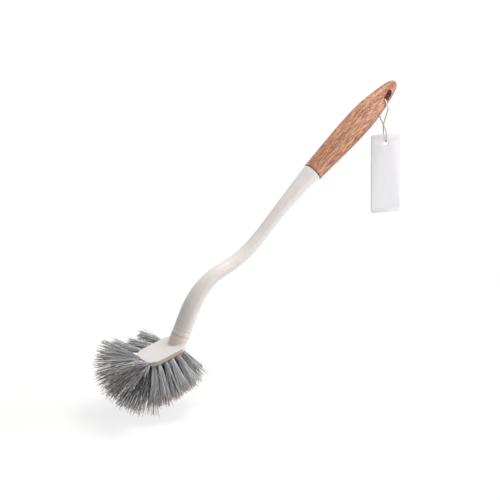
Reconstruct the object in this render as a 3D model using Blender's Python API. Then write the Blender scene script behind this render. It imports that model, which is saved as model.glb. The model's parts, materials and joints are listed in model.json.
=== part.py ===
"""Toilet brush: a moulded head with splayed tufts, an S-bent stem, a wood-look grip and a blank card.

All lengths are metres and all angles degrees. The origin is the middle of the hanging slot, +X runs
from the head towards the grip's tip, +Z is up and the brush lies about the plane Y = 0. The brush
leans with its grip above and its head below, and the card hangs plumb from the slot.
"""
import math

import bmesh
import bpy
from mathutils import Matrix, Vector

# Clearances and working values shared by all pieces
SEAT_GAP = 0.0003
CUT_OVERRUN = 0.004
MERGE_DISTANCE = 0.00002
SMOOTH_ANGLE = 35.0
HALF_CORNER = 45.0

# Grip, with its half height and half thickness along its length
GRIP_LENGTH = 0.1268
GRIP_HEIGHT = 0.0266
GRIP_THICKNESS = 0.0216
GRIP_FACE_DIAMETER = 0.0196
GRIP_PITCH = 36.4
GRIP_AXIS_ABOVE_SLOT = 0.0001
GRIP_HEIGHT_SHARES = (
    (0.000, 0.748), (0.090, 0.800), (0.175, 0.856), (0.260, 0.908), (0.345, 0.954), (0.430, 0.987),
    (0.510, 1.000), (0.590, 0.998), (0.650, 0.966), (0.710, 0.902), (0.765, 0.832), (0.820, 0.744),
    (0.870, 0.648), (0.910, 0.562), (0.940, 0.488), (0.962, 0.412), (0.980, 0.322), (0.992, 0.220),
    (1.000, 0.080),
)
GRIP_THICKNESS_SHARES = (
    (0.000, 0.907), (0.175, 0.940), (0.345, 0.980), (0.510, 1.000), (0.650, 0.950), (0.765, 0.830),
    (0.870, 0.640), (0.940, 0.470), (0.980, 0.320), (0.992, 0.220), (1.000, 0.080),
)
GRIP_SIDES = 24

# Hanging slot in the grip
SLOT_TO_TIP = 0.0182
SLOT_LENGTH = 0.0128
SLOT_WIDTH = 0.0062
SLOT_FLARE = 0.0006
SLOT_TURN = 13.5
SLOT_CAP_STEPS = 6

# Stem: heading of its centreline and how far it keeps each end's width
STEM_RUN = 0.2060
STEM_NECK_DIAMETER = 0.0174
STEM_WAIST_DIAMETER = 0.0126
STEM_TOP_STEP = 0.0002
STEM_HEADING_SHARES = (
    (0.00, 62.3), (0.10, 63.3), (0.16, 55.1), (0.22, 46.5), (0.28, 35.6), (0.34, 20.3), (0.39, 19.2),
    (0.46, 27.2), (0.54, 35.8), (0.62, 42.2), (0.70, 43.3), (0.80, 40.4), (0.90, 38.4), (1.00, 36.4),
)
STEM_NECK_SHARES = (
    (0.00, 1.00), (0.15, 0.93), (0.21, 0.74), (0.27, 0.42),
    (0.33, 0.20), (0.42, 0.06), (0.60, 0.00), (1.00, 0.00),
)
STEM_TOP_SHARES = ((0.00, 0.00), (0.68, 0.00), (0.76, 0.06), (0.85, 0.30), (0.94, 0.66), (1.00, 1.00))
STEM_STATIONS = 30
STEM_INTEGRATION_STEPS = 600
STEM_BEVEL_RESOLUTION = 6
SPIGOT_DIAMETER = 0.0110
SPIGOT_LENGTH = 0.0090
TANG_DIAMETER = 0.0120
TANG_LENGTH = 0.0300
TENON_CHAMFER = 0.0008
SHOULDER_STEP = 0.00005
STEM_BEAD_FROM_SEAM = 0.0042
STEM_BEAD_WIDTH = 0.0008
STEM_BEAD_DEPTH = 0.0002

# Head block with its socket neck
BLOCK_PITCH = 13.3
BLOCK_FRONT = 0.0404
BLOCK_REAR = 0.0072
BLOCK_WIDTH = 0.0338
BLOCK_WALL = 0.0038
BLOCK_KEEL_DEPTH = 0.0062
BLOCK_KEEL_INSET = 0.0062
BLOCK_EDGE = 0.0006
BLOCK_NOSE_BULGE = 0.0022
BLOCK_NOSE_SWELL_POWER = 3
BLOCK_FRONT_CORNER = 0.0075
BLOCK_REAR_ROUND = 0.0160
BLOCK_CORNER_STEPS = 6
BLOCK_REAR_STEPS = 9
BLOCK_FRONT_STEPS = 5
BLOCK_SMALLEST_CORNER = 0.0008
NECK_RISE = 0.0050
NECK_STEP = 0.0002
NECK_FOOT_DEPTH = 0.0036
NECK_FOOT_FORWARD = 0.0025
NECK_FOOT_LENGTH = 0.0200
NECK_FOOT_WIDTH = 0.0190
NECK_SIDES = 32

# Tufts: the hole each is set in, its root and its strands
TUFT_HOLE_DIAMETER = 0.0035
TUFT_ROOT_DEPTH = 0.0026
TUFT_HOLE_SIDES = 10
STRANDS_PER_TUFT = 12
STRAND_ROOT_RADIUS = 0.00025
STRAND_TIP_SHARE = 0.8
STRAND_EMBED = 0.0008
STRAND_RIM = 0.00032
STRAND_FLARE = 5.5
STRAND_SIDES = 3
STRAND_SHORTER_SHARE = 0.07
STRAND_SHUFFLE = 7
GOLDEN_TURN = 137.507764

# Tufts under the block: share of the front length, share of the half width, yaw, dip, share of the reach
TUFT_REACH = 0.0460
NEAR_TUFT_SHARES = (
    (0.10, -0.83, -100.0, 37.0, 0.52), (0.27, -0.88, -86.0, 41.0, 0.74), (0.44, -0.89, -77.0, 43.0, 0.77),
    (0.61, -0.89, -69.0, 46.0, 0.79), (0.77, -0.88, -60.0, 45.0, 0.79), (0.89, -0.78, -50.0, 43.0, 0.83),
)
FAR_TUFT_SHARES = (
    (0.13, 0.85, 100.0, 37.0, 0.56), (0.39, 0.89, 80.0, 42.0, 0.75),
    (0.63, 0.89, 67.0, 46.0, 0.79), (0.89, 0.78, 50.0, 43.0, 0.83),
)
FRONT_TUFT_SHARES = (
    (0.88, -0.46, -33.0, 37.0, 0.96), (0.89, -0.155, -14.0, 27.0, 1.02),
    (0.89, 0.155, 14.0, 27.0, 1.02), (0.88, 0.46, 33.0, 37.0, 0.96),
)
INNER_TUFT_SHARES = (
    (0.12, -0.45, -125.0, 66.0, 0.72), (0.32, -0.49, -91.0, 60.0, 0.79),
    (0.52, -0.49, -60.0, 60.0, 0.83), (0.70, -0.47, -41.0, 58.0, 0.88),
    (0.12, 0.45, 125.0, 66.0, 0.72), (0.32, 0.49, 91.0, 60.0, 0.79),
    (0.52, 0.49, 60.0, 60.0, 0.83), (0.70, 0.47, 41.0, 58.0, 0.88),
)
MIDDLE_TUFT_SHARES = (
    (0.22, 0.0, 180.0, 84.0, 0.83), (0.44, 0.0, 0.0, 78.0, 0.87), (0.66, 0.0, 0.0, 56.0, 0.94),
)

# Tufts in the wall: share of the half width or the front length, yaw, dip, share of the reach
WALL_TUFT_DEPTH = 0.0024
NOSE_TUFT_SHARES = (
    (-0.61, -45.0, -22.0, 0.82), (-0.31, -22.0, -8.0, 0.92), (0.00, 0.0, 3.0, 1.00),
    (0.31, 22.0, -8.0, 0.92), (0.61, 45.0, -22.0, 0.82),
)
SIDE_TUFT_SHARES = ((0.26, 75.0, -7.0, 0.62), (0.51, 58.0, -10.0, 0.54), (0.76, 60.0, -22.0, 0.76))

# String loop and knot: the loop's ends butt on the knot behind the card
STRING_DIAMETER = 0.0014
STRING_POINT_PITCH = 0.0016
STRING_CURVE_STEPS = 16
STRING_BEVEL_RESOLUTION = 2
STRING_ROUTE = (
    (0.00085, 0.00005, -0.0402),
    (0.00045, 0.00007, -0.0388),
    (-0.0002, -0.0002, -0.0355),
    (-0.0007, -0.0010, -0.0305),
    (-0.0006, -0.0024, -0.0255),
    (0.0000, -0.0042, -0.0200),
    (0.0003, -0.0060, -0.0155),
    (-0.0004, -0.0076, -0.0119),
    (-0.0022, -0.0088, -0.0091),
    (-0.0037, -0.0091, -0.0070),
    (-0.0041, -0.0087, -0.0052),
    (-0.0037, -0.0074, -0.0040),
    (-0.0030, -0.0056, -0.0036),
    (-0.0022, -0.0028, -0.0038),
    (-0.0017, 0.0000, -0.0040),
    (-0.0015, 0.0028, -0.0040),
    (-0.0014, 0.0055, -0.0039),
    (-0.0013, 0.0077, -0.0047),
    (-0.0013, 0.0089, -0.0066),
    (-0.0014, 0.0091, -0.0090),
    (-0.0017, 0.0082, -0.0124),
    (-0.0021, 0.0056, -0.0170),
    (-0.0022, 0.0026, -0.0227),
    (-0.0015, -0.0006, -0.0280),
    (-0.0003, -0.0032, -0.0334),
    (0.0004, -0.0050, -0.0385),
    (0.0003, -0.0055, -0.0418),
    (0.0002, -0.0054, -0.0440),
    (0.0005, -0.0045, -0.0460),
    (0.0010, -0.0027, -0.0468),
    (0.0015, -0.0009, -0.0462),
    (0.0020, 0.0000, -0.0445),
    (0.00175, 0.0000, -0.0434),
)
SWING_AXIS = (-0.0012, 0.0, -0.0038)
HANG_GAP = 0.0005
KNOT_WIDTH = 0.0034
KNOT_DEPTH = 0.0030
KNOT_SIDES = 12
KNOT_RINGS = 8

# Blank card
CARD_LENGTH = 0.0800
CARD_WIDTH = 0.0316
CARD_THICKNESS = 0.0012
CARD_CORNER = 0.0020
CARD_TURN = -16.0
CARD_HOLE_DIAMETER = 0.0052
CARD_HOLE_BELOW_TOP = 0.0089
CARD_CORNER_STEPS = 3
CARD_HOLE_SIDES = 16

PARTS = "toilet_brush"
CUTTERS = "cutters"


def clear_scene():
    """Removes what the scene holds, so that each run starts alike."""
    for item in list(bpy.data.objects):
        bpy.data.objects.remove(item, do_unlink=True)


def new_collection(name):
    """Makes a collection in the scene."""
    collection = bpy.data.collections.new(name)
    bpy.context.scene.collection.children.link(collection)
    return collection


def make_material(name, colour, roughness):
    """Makes a plain Principled material."""
    material = bpy.data.materials.new(name)
    material.use_nodes = True
    shader = material.node_tree.nodes["Principled BSDF"]
    shader.inputs["Base Color"].default_value = (*colour, 1.0)
    shader.inputs["Roughness"].default_value = roughness
    shader.inputs["Metallic"].default_value = 0.0
    material.diffuse_color = (*colour, 1.0)
    return material


def add_piece(name, mesh, material):
    """Puts a finished mesh in the parts collection under its node's name."""
    mesh.name = name
    piece = bpy.data.objects.new(name, mesh)
    mesh.materials.clear()
    mesh.materials.append(material)
    bpy.data.collections[PARTS].objects.link(piece)
    return piece


def set_origin(piece, place):
    """Moves a piece's origin to a place, such as its joint's axis, and leaves its shape where it is."""
    piece.data.transform(Matrix.Translation(-place))
    piece.location = place
    return piece


def add_cutter(name, mesh):
    """Puts a mesh that only shapes other pieces in the cutters collection."""
    cutter = bpy.data.objects.new(name, mesh)
    cutter.hide_render = True
    cutter.display_type = "WIRE"
    bpy.data.collections[CUTTERS].objects.link(cutter)
    return cutter


def combine(piece, cutter, operation):
    """Adds an exact Boolean to a piece."""
    modifier = piece.modifiers.new(cutter.name, "BOOLEAN")
    modifier.solver = "EXACT"
    modifier.operation = operation
    modifier.object = cutter


def finish_mesh(shape, name):
    """Turns a bmesh into a mesh whose faces point out, shaded smooth between its edges."""
    bmesh.ops.recalc_face_normals(shape, faces=shape.faces)
    mesh = bpy.data.meshes.new(name)
    shape.to_mesh(mesh)
    shape.free()
    mesh.shade_smooth()
    mesh.set_sharp_from_angle(angle=math.radians(SMOOTH_ANGLE))
    return mesh


def loft(name, rings):
    """Makes a closed body through rings that hold the same number of points."""
    shape = bmesh.new()
    rows = [[shape.verts.new(point) for point in ring] for ring in rings]
    count = len(rings[0])
    for low, high in zip(rows, rows[1:]):
        for i in range(count):
            j = (i + 1) % count
            shape.faces.new((low[i], low[j], high[j], high[i]))
    shape.faces.new(rows[0])
    shape.faces.new(rows[-1])
    return finish_mesh(shape, name)


def along_matrix(start, direction):
    """Matrix that puts a body's own Z axis along a direction, with its origin at start."""
    turn = direction.to_track_quat("Z", "Y").to_matrix().to_4x4()
    return Matrix.Translation(start) @ turn


def add_rod(shape, start, end, start_radius, end_radius, sides):
    """Adds a capped cone or cylinder from start to end to a bmesh."""
    axis = end - start
    middle = (start + end) / 2
    bmesh.ops.create_cone(
        shape, cap_ends=True, segments=sides, radius1=start_radius, radius2=end_radius, depth=axis.length,
        matrix=along_matrix(middle, axis.normalized()),
    )


def table_value(table, share):
    """Reads a table of (share, value) rows at a share, with straight runs between rows."""
    for (left, low), (right, high) in zip(table, table[1:]):
        if share <= right:
            return low + (high - low) * (share - left) / (right - left)
    return table[-1][1]


def heading_vector(degrees):
    """Unit vector in the plane Y = 0 at an angle above +X."""
    angle = math.radians(degrees)
    return Vector((math.cos(angle), 0.0, math.sin(angle)))


def grip_axis():
    """Direction from the grip's face to its tip."""
    return heading_vector(GRIP_PITCH)


def grip_across():
    """Direction square to the grip's axis, upwards in the plane Y = 0."""
    return heading_vector(GRIP_PITCH + 90.0)


def grip_face():
    """Middle of the grip's flat lower face, measured from the slot at the origin."""
    return grip_across() * GRIP_AXIS_ABOVE_SLOT - grip_axis() * (GRIP_LENGTH - SLOT_TO_TIP)


def grip_half_sizes(along):
    """Half height and half thickness of the grip at a distance from its face."""
    share = along / GRIP_LENGTH
    height = GRIP_HEIGHT / 2 * table_value(GRIP_HEIGHT_SHARES, share)
    thickness = GRIP_THICKNESS / 2 * table_value(GRIP_THICKNESS_SHARES, share)
    return height, thickness


def obround(length, width, steps):
    """Outline of a slot with round ends, as (along, across) pairs."""
    radius = width / 2
    reach = length / 2 - radius
    points = []
    for end, first in ((reach, -90.0), (-reach, 90.0)):
        for i in range(steps + 1):
            angle = math.radians(first + 180.0 * i / steps)
            points.append((end + radius * math.cos(angle), radius * math.sin(angle)))
    return points


def slot_cutter():
    """Cutter of the hanging slot: a slot through the grip that flares at both faces."""
    half = grip_half_sizes(GRIP_LENGTH - SLOT_TO_TIP)[1]
    out = half + CUT_OVERRUN
    seat = half - SLOT_FLARE
    long_way = heading_vector(GRIP_PITCH + SLOT_TURN)
    short_way = heading_vector(GRIP_PITCH + SLOT_TURN + 90.0)
    rings = []
    for lateral, grow in ((-out, out - seat), (-seat, 0.0), (seat, 0.0), (out, out - seat)):
        outline = obround(SLOT_LENGTH + 2 * grow, SLOT_WIDTH + 2 * grow, SLOT_CAP_STEPS)
        offset = Vector((0.0, lateral, 0.0))
        rings.append([long_way * a + short_way * b + offset for a, b in outline])
    return add_cutter("slot_cutter", loft("slot_cutter", rings))


def make_grip(material):
    """Leaf-shaped grip: oval sections along its axis, a socket for the stem's tang and the slot."""
    axis = grip_axis()
    across = grip_across()
    side = Vector((0.0, 1.0, 0.0))
    rings = []
    for share, _ in GRIP_HEIGHT_SHARES:
        along = GRIP_LENGTH * share
        height, thickness = grip_half_sizes(along)
        centre = grip_face() + axis * along
        angles = [2 * math.pi * i / GRIP_SIDES for i in range(GRIP_SIDES)]
        rings.append([centre + across * height * math.cos(a) + side * thickness * math.sin(a) for a in angles])
    grip = add_piece("grip", loft("grip", rings), material)
    socket = bmesh.new()
    start = grip_face() - axis * CUT_OVERRUN
    end = grip_face() + axis * (TANG_LENGTH + SEAT_GAP)
    radius = TANG_DIAMETER / 2 + SEAT_GAP
    add_rod(socket, start, end, radius, radius, GRIP_SIDES)
    combine(grip, add_cutter("grip_socket_cutter", finish_mesh(socket, "grip_socket_cutter")), "DIFFERENCE")
    combine(grip, slot_cutter(), "DIFFERENCE")
    return grip


def stem_walk():
    """Centreline of the stem from its lower end as (share, place, heading), before it is placed."""
    step = STEM_RUN / STEM_INTEGRATION_STEPS
    place = Vector((0.0, 0.0, 0.0))
    walk = []
    for i in range(STEM_INTEGRATION_STEPS + 1):
        share = i / STEM_INTEGRATION_STEPS
        heading = table_value(STEM_HEADING_SHARES, share)
        walk.append((share, place.copy(), heading))
        place += heading_vector(heading) * step
    return walk


def stem_shoulder():
    """Middle of the stem's upper shoulder, a seat gap below the grip's face."""
    return grip_face() - grip_axis() * SEAT_GAP


def seam_centre():
    """Middle of the stem's lower shoulder, where it meets the socket neck."""
    return stem_shoulder() - stem_walk()[-1][1]


def neck_axis():
    """Direction of the stem where it leaves the neck."""
    return heading_vector(STEM_HEADING_SHARES[0][1])


def stem_radius(share):
    """Radius of the stem: its neck fades into the waist, and the waist flares to the grip."""
    waist = STEM_WAIST_DIAMETER / 2
    neck = STEM_NECK_DIAMETER / 2 - waist
    top = GRIP_FACE_DIAMETER / 2 - STEM_TOP_STEP - waist
    return waist + neck * table_value(STEM_NECK_SHARES, share) + top * table_value(STEM_TOP_SHARES, share)


def stem_bead():
    """Shallow ring groove near the neck, as (distance from the seam, cut in the radius)."""
    half = STEM_BEAD_WIDTH / 2
    return (
        (STEM_BEAD_FROM_SEAM - half, 0.0), (STEM_BEAD_FROM_SEAM - half / 2, STEM_BEAD_DEPTH),
        (STEM_BEAD_FROM_SEAM + half / 2, STEM_BEAD_DEPTH), (STEM_BEAD_FROM_SEAM + half, 0.0),
    )


def stem_sections():
    """All (place, radius) points of the stem: spigot, shoulder, bent body, shoulder and tang."""
    low = seam_centre()
    down = -neck_axis()
    spigot = SPIGOT_DIAMETER / 2
    sections = [
        (low + down * SPIGOT_LENGTH, spigot - TENON_CHAMFER),
        (low + down * (SPIGOT_LENGTH - TENON_CHAMFER), spigot),
        (low + down * SHOULDER_STEP, spigot),
        (low, stem_radius(0.0)),
    ]
    walk = stem_walk()
    stations = [(i / STEM_STATIONS, 0.0) for i in range(1, STEM_STATIONS)]
    stations += [(distance / STEM_RUN, cut) for distance, cut in stem_bead()]
    for share, cut in sorted(stations):
        place = walk[round(share * STEM_INTEGRATION_STEPS)][1]
        sections.append((low + place, stem_radius(share) - cut))
    high = stem_shoulder()
    up = grip_axis()
    tang = TANG_DIAMETER / 2
    sections += [
        (high, stem_radius(1.0)),
        (high + up * SHOULDER_STEP, tang),
        (high + up * (TANG_LENGTH - TENON_CHAMFER), tang),
        (high + up * TANG_LENGTH, tang - TENON_CHAMFER),
    ]
    return sections


def tube_mesh(name, sections, resolution):
    """Closed mesh of a bevelled poly curve through (place, radius) sections."""
    curve = bpy.data.curves.new(name, "CURVE")
    curve.dimensions = "3D"
    curve.bevel_depth = 1.0
    curve.bevel_resolution = resolution
    curve.use_fill_caps = True
    spline = curve.splines.new("POLY")
    spline.points.add(len(sections) - 1)
    for point, (place, radius) in zip(spline.points, sections):
        point.co = (*place, 1.0)
        point.radius = radius
    holder = bpy.data.objects.new(name, curve)
    bpy.data.collections[CUTTERS].objects.link(holder)
    graph = bpy.context.evaluated_depsgraph_get()
    mesh = bpy.data.meshes.new_from_object(holder.evaluated_get(graph))
    bpy.data.objects.remove(holder, do_unlink=True)
    bpy.data.curves.remove(curve)
    shape = bmesh.new()
    shape.from_mesh(mesh)
    bpy.data.meshes.remove(mesh)
    bmesh.ops.remove_doubles(shape, verts=shape.verts, dist=MERGE_DISTANCE)
    return finish_mesh(shape, name)


def make_stem(material):
    """S-bent stem with a spigot for the head and a tang for the grip."""
    return add_piece("stem", tube_mesh("stem", stem_sections(), STEM_BEVEL_RESOLUTION), material)


def block_origin():
    """Point where the stem's axis meets the plane of the block's top."""
    return seam_centre() - neck_axis() * NECK_RISE


def block_forward():
    """Direction from the neck to the block's nose."""
    return -heading_vector(BLOCK_PITCH)


def block_normal():
    """Direction out of the block's top."""
    return heading_vector(BLOCK_PITCH + 90.0)


def block_point(forward, lateral, height):
    """World place of a point given in the block's own directions."""
    side = Vector((0.0, lateral, 0.0))
    return block_origin() + block_forward() * forward + side + block_normal() * height


def block_direction(yaw, dip):
    """World direction at a yaw from the nose towards +Y and a dip below the block's plane."""
    level = math.cos(math.radians(dip))
    forward = block_forward() * level * math.cos(math.radians(yaw))
    side = Vector((0.0, level * math.sin(math.radians(yaw)), 0.0))
    return (forward + side - block_normal() * math.sin(math.radians(dip))).normalized()


def corner_arc(centre, radius, first, steps):
    """Quarter circle of (forward, lateral) points."""
    angles = [math.radians(first + 90.0 * i / steps) for i in range(steps + 1)]
    return [(centre[0] + radius * math.cos(a), centre[1] + radius * math.sin(a)) for a in angles]


def rear_arc(inset, first):
    """Quarter ellipse of (forward, lateral) points round half of the block's rear."""
    long_radius = BLOCK_REAR_ROUND - inset
    half = BLOCK_WIDTH / 2 - inset
    centre = BLOCK_REAR_ROUND - BLOCK_REAR
    angles = [math.radians(first + 90.0 * i / BLOCK_REAR_STEPS) for i in range(BLOCK_REAR_STEPS + 1)]
    return [(centre + long_radius * math.cos(a), half * math.sin(a)) for a in angles]


def block_outline(inset):
    """Outline of the block drawn in by an inset, from its rear round the near side and the nose."""
    half = BLOCK_WIDTH / 2 - inset
    front = BLOCK_FRONT - BLOCK_NOSE_BULGE - inset
    corner = max(BLOCK_FRONT_CORNER - inset, BLOCK_SMALLEST_CORNER)
    near_front = corner_arc((front - corner, corner - half), corner, 270.0, BLOCK_CORNER_STEPS)
    nose = []
    for i in range(1, BLOCK_FRONT_STEPS):
        nose.append((front, (corner - half) * (1 - 2 * i / BLOCK_FRONT_STEPS)))
    far_front = corner_arc((front - corner, half - corner), corner, 0.0, BLOCK_CORNER_STEPS)
    far_rear = rear_arc(inset, 90.0)[:-1]
    outline = rear_arc(inset, 180.0) + near_front + nose + far_front + far_rear
    bulged = []
    for forward, lateral in outline:
        swell = max(forward / front, 0.0) ** BLOCK_NOSE_SWELL_POWER
        bulged.append((forward + BLOCK_NOSE_BULGE * swell * (1 - (lateral / half) ** 2), lateral))
    return bulged


def block_body():
    """Loft of the block: a flat top, rounded edge, upright wall and sloping keel."""
    turn = BLOCK_EDGE * math.sin(math.radians(HALF_CORNER))
    levels = (
        (BLOCK_EDGE, 0.0),
        (BLOCK_EDGE - turn, turn - BLOCK_EDGE),
        (0.0, -BLOCK_EDGE),
        (0.0, -BLOCK_WALL),
        (BLOCK_KEEL_INSET, -BLOCK_WALL - BLOCK_KEEL_DEPTH),
    )
    rings = [[block_point(f, s, height) for f, s in block_outline(inset)] for inset, height in levels]
    return loft("head_block", rings)


def neck_body():
    """Round neck that leans with the stem, from its oval foot in the block to the seam."""
    first = heading_vector(STEM_HEADING_SHARES[0][1] + 90.0)
    side = Vector((0.0, 1.0, 0.0))
    radius = STEM_NECK_DIAMETER / 2 + NECK_STEP
    seat = seam_centre() - neck_axis() * SEAT_GAP
    top = []
    foot = []
    for i in range(NECK_SIDES):
        angle = 2 * math.pi * i / NECK_SIDES
        forward = NECK_FOOT_FORWARD + NECK_FOOT_LENGTH / 2 * math.cos(angle)
        top.append(seat + first * radius * math.cos(angle) + side * radius * math.sin(angle))
        foot.append(block_point(forward, NECK_FOOT_WIDTH / 2 * math.sin(angle), -NECK_FOOT_DEPTH))
    return loft("neck", [foot, top])


def neck_bore():
    """Bore for the stem's spigot."""
    axis = neck_axis()
    bore = SPIGOT_DIAMETER / 2 + SEAT_GAP
    shape = bmesh.new()
    add_rod(shape, seam_centre() - axis * (SPIGOT_LENGTH + SEAT_GAP), seam_centre(), bore, bore, NECK_SIDES)
    return add_cutter("neck_bore_cutter", finish_mesh(shape, "neck_bore_cutter"))


def distance_from_outline(forward, lateral):
    """Shortest distance from a place on the block's plan to its outline."""
    place = Vector((forward, lateral))
    corners = [Vector(point) for point in block_outline(0.0)]
    nearest = BLOCK_WIDTH
    for start, end in zip(corners, corners[1:] + corners[:1]):
        side = end - start
        share = min(max((place - start).dot(side) / side.length_squared, 0.0), 1.0)
        nearest = min(nearest, (place - start - side * share).length)
    return nearest


def underside_height(forward, lateral):
    """Height of the block's sloping or flat underside at a place on its plan."""
    share = min(distance_from_outline(forward, lateral) / BLOCK_KEEL_INSET, 1.0)
    return -BLOCK_WALL - BLOCK_KEEL_DEPTH * share


def tuft_plan():
    """Every tuft as (name, root place, direction, length)."""
    plan = []
    half = BLOCK_WIDTH / 2
    rows = (
        ("near_tuft", NEAR_TUFT_SHARES), ("far_tuft", FAR_TUFT_SHARES), ("front_tuft", FRONT_TUFT_SHARES),
        ("inner_tuft", INNER_TUFT_SHARES), ("middle_tuft", MIDDLE_TUFT_SHARES),
    )
    for name, row in rows:
        for i, (ahead, aside, yaw, dip, reach) in enumerate(row):
            forward = BLOCK_FRONT * ahead
            lateral = half * aside
            root = block_point(forward, lateral, underside_height(forward, lateral))
            plan.append((f"{name}_{i + 1}", root, block_direction(yaw, dip), TUFT_REACH * reach))
    for i, (aside, yaw, dip, reach) in enumerate(NOSE_TUFT_SHARES):
        root = block_point(nose_forward(half * aside), half * aside, -WALL_TUFT_DEPTH)
        plan.append((f"nose_tuft_{i + 1}", root, block_direction(yaw, dip), TUFT_REACH * reach))
    for i, (ahead, yaw, dip, reach) in enumerate(SIDE_TUFT_SHARES):
        root = block_point(BLOCK_FRONT * ahead, half, -WALL_TUFT_DEPTH)
        plan.append((f"side_tuft_{i + 1}", root, block_direction(yaw, dip), TUFT_REACH * reach))
    return plan


def nose_forward(lateral):
    """How far forward the block's wall is at a lateral place on its nose."""
    outline = block_outline(0.0)
    ahead = [point for point in outline if point[0] > BLOCK_FRONT / 2]
    for (f0, s0), (f1, s1) in zip(ahead, ahead[1:]):
        if s0 <= lateral <= s1:
            return f0 + (f1 - f0) * (lateral - s0) / (s1 - s0)
    return BLOCK_FRONT


def tuft_root_radius():
    """Radius of a tuft's round root in its hole."""
    return TUFT_HOLE_DIAMETER / 2 - SEAT_GAP


def tuft_hole_cutter(plan):
    """One cutter with every tuft hole, each along its tuft's own direction."""
    shape = bmesh.new()
    radius = TUFT_HOLE_DIAMETER / 2
    for _, root, direction, _ in plan:
        inner = root - direction * (TUFT_ROOT_DEPTH + SEAT_GAP)
        add_rod(shape, inner, root + direction * CUT_OVERRUN, radius, radius, TUFT_HOLE_SIDES)
    return add_cutter("tuft_hole_cutter", finish_mesh(shape, "tuft_hole_cutter"))


def make_head_block(material, plan):
    """Head block: the block and its neck in one moulding, bored for the stem and drilled for the tufts."""
    block = add_piece("head_block", block_body(), material)
    combine(block, add_cutter("neck_body", neck_body()), "UNION")
    combine(block, neck_bore(), "DIFFERENCE")
    combine(block, tuft_hole_cutter(plan), "DIFFERENCE")
    return block


def tuft_strands(root, direction, length):
    """Strands of a tuft as (start, end), fanned so that none crosses another."""
    frame = along_matrix(root, direction)
    spread = tuft_root_radius() - STRAND_RIM - STRAND_ROOT_RADIUS
    flare = length * math.tan(math.radians(STRAND_FLARE))
    strands = []
    for i in range(STRANDS_PER_TUFT):
        ring = math.sqrt((i + 0.5) / STRANDS_PER_TUFT)
        angle = math.radians(GOLDEN_TURN * i)
        across = Vector((math.cos(angle), math.sin(angle), 0.0)) * ring
        shorter = STRAND_SHORTER_SHARE * ((i * STRAND_SHUFFLE) % STRANDS_PER_TUFT) / STRANDS_PER_TUFT
        start = across * spread
        end = across * (spread + flare) + Vector((0.0, 0.0, length * (1.0 - shorter)))
        embed = (end - start).normalized() * STRAND_EMBED
        strands.append((frame @ (start - embed), frame @ end))
    return strands


def make_tuft(name, root, direction, length, material):
    """One tuft: a round root for its hole, with every strand joined to it."""
    radius = tuft_root_radius()
    root_shape = bmesh.new()
    add_rod(root_shape, root - direction * TUFT_ROOT_DEPTH, root, radius, radius, TUFT_HOLE_SIDES)
    tuft = add_piece(name, finish_mesh(root_shape, name), material)
    strand_shape = bmesh.new()
    tip_radius = STRAND_ROOT_RADIUS * STRAND_TIP_SHARE
    for start, end in tuft_strands(root, direction, length):
        add_rod(strand_shape, start, end, STRAND_ROOT_RADIUS, tip_radius, STRAND_SIDES)
    strands = add_cutter(f"{name}_strands", finish_mesh(strand_shape, f"{name}_strands"))
    combine(tuft, strands, "UNION")
    return tuft


def smooth_route(route, pitch):
    """Evenly spaced points on a smooth curve through a route's points."""
    points = [Vector(point) for point in route]
    padded = [points[0] * 2 - points[1]] + points + [points[-1] * 2 - points[-2]]
    fine = [points[0]]
    for k in range(len(points) - 1):
        p0, p1, p2, p3 = padded[k:k + 4]
        for i in range(1, STRING_CURVE_STEPS + 1):
            t = i / STRING_CURVE_STEPS
            bend = 2 * p0 - 5 * p1 + 4 * p2 - p3
            twist = 3 * p1 - p0 - 3 * p2 + p3
            fine.append((2 * p1 + (p2 - p0) * t + bend * t ** 2 + twist * t ** 3) / 2)
    length = sum((b - a).length for a, b in zip(fine, fine[1:]))
    count = max(2, round(length / pitch))
    even = [fine[0]]
    run = 0.0
    for a, b in zip(fine, fine[1:]):
        step = (b - a).length
        while run + step >= length * len(even) / count and len(even) < count:
            even.append(a.lerp(b, (length * len(even) / count - run) / step))
        run += step
    return even + [fine[-1]]


def make_string(material):
    """String loop: through the slot, down both faces of the grip and through the card's hole."""
    radius = STRING_DIAMETER / 2
    sections = [(place, radius) for place in smooth_route(STRING_ROUTE, STRING_POINT_PITCH)]
    string = add_piece("card_string", tube_mesh("card_string", sections, STRING_BEVEL_RESOLUTION), material)
    return set_origin(string, Vector(SWING_AXIS))


def make_knot(material):
    """Knot that closes the loop, between the string's two ends behind the card."""
    top = Vector(STRING_ROUTE[0])
    bottom = Vector(STRING_ROUTE[-1])
    shape = bmesh.new()
    bmesh.ops.create_uvsphere(shape, u_segments=KNOT_SIDES, v_segments=KNOT_RINGS, radius=0.5)
    length = (top - bottom).length - 2 * SEAT_GAP
    scale = Matrix.Diagonal((KNOT_WIDTH, KNOT_DEPTH, length, 1.0))
    place = along_matrix((top + bottom) / 2, (top - bottom).normalized())
    bmesh.ops.transform(shape, matrix=place @ scale, verts=shape.verts)
    knot = add_piece("string_knot", finish_mesh(shape, "string_knot"), material)
    return set_origin(knot, Vector(SWING_AXIS))


def hanging_point():
    """Lowest point of the string's centreline, where the card hangs."""
    return Vector(min(STRING_ROUTE, key=lambda point: point[2]))


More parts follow.
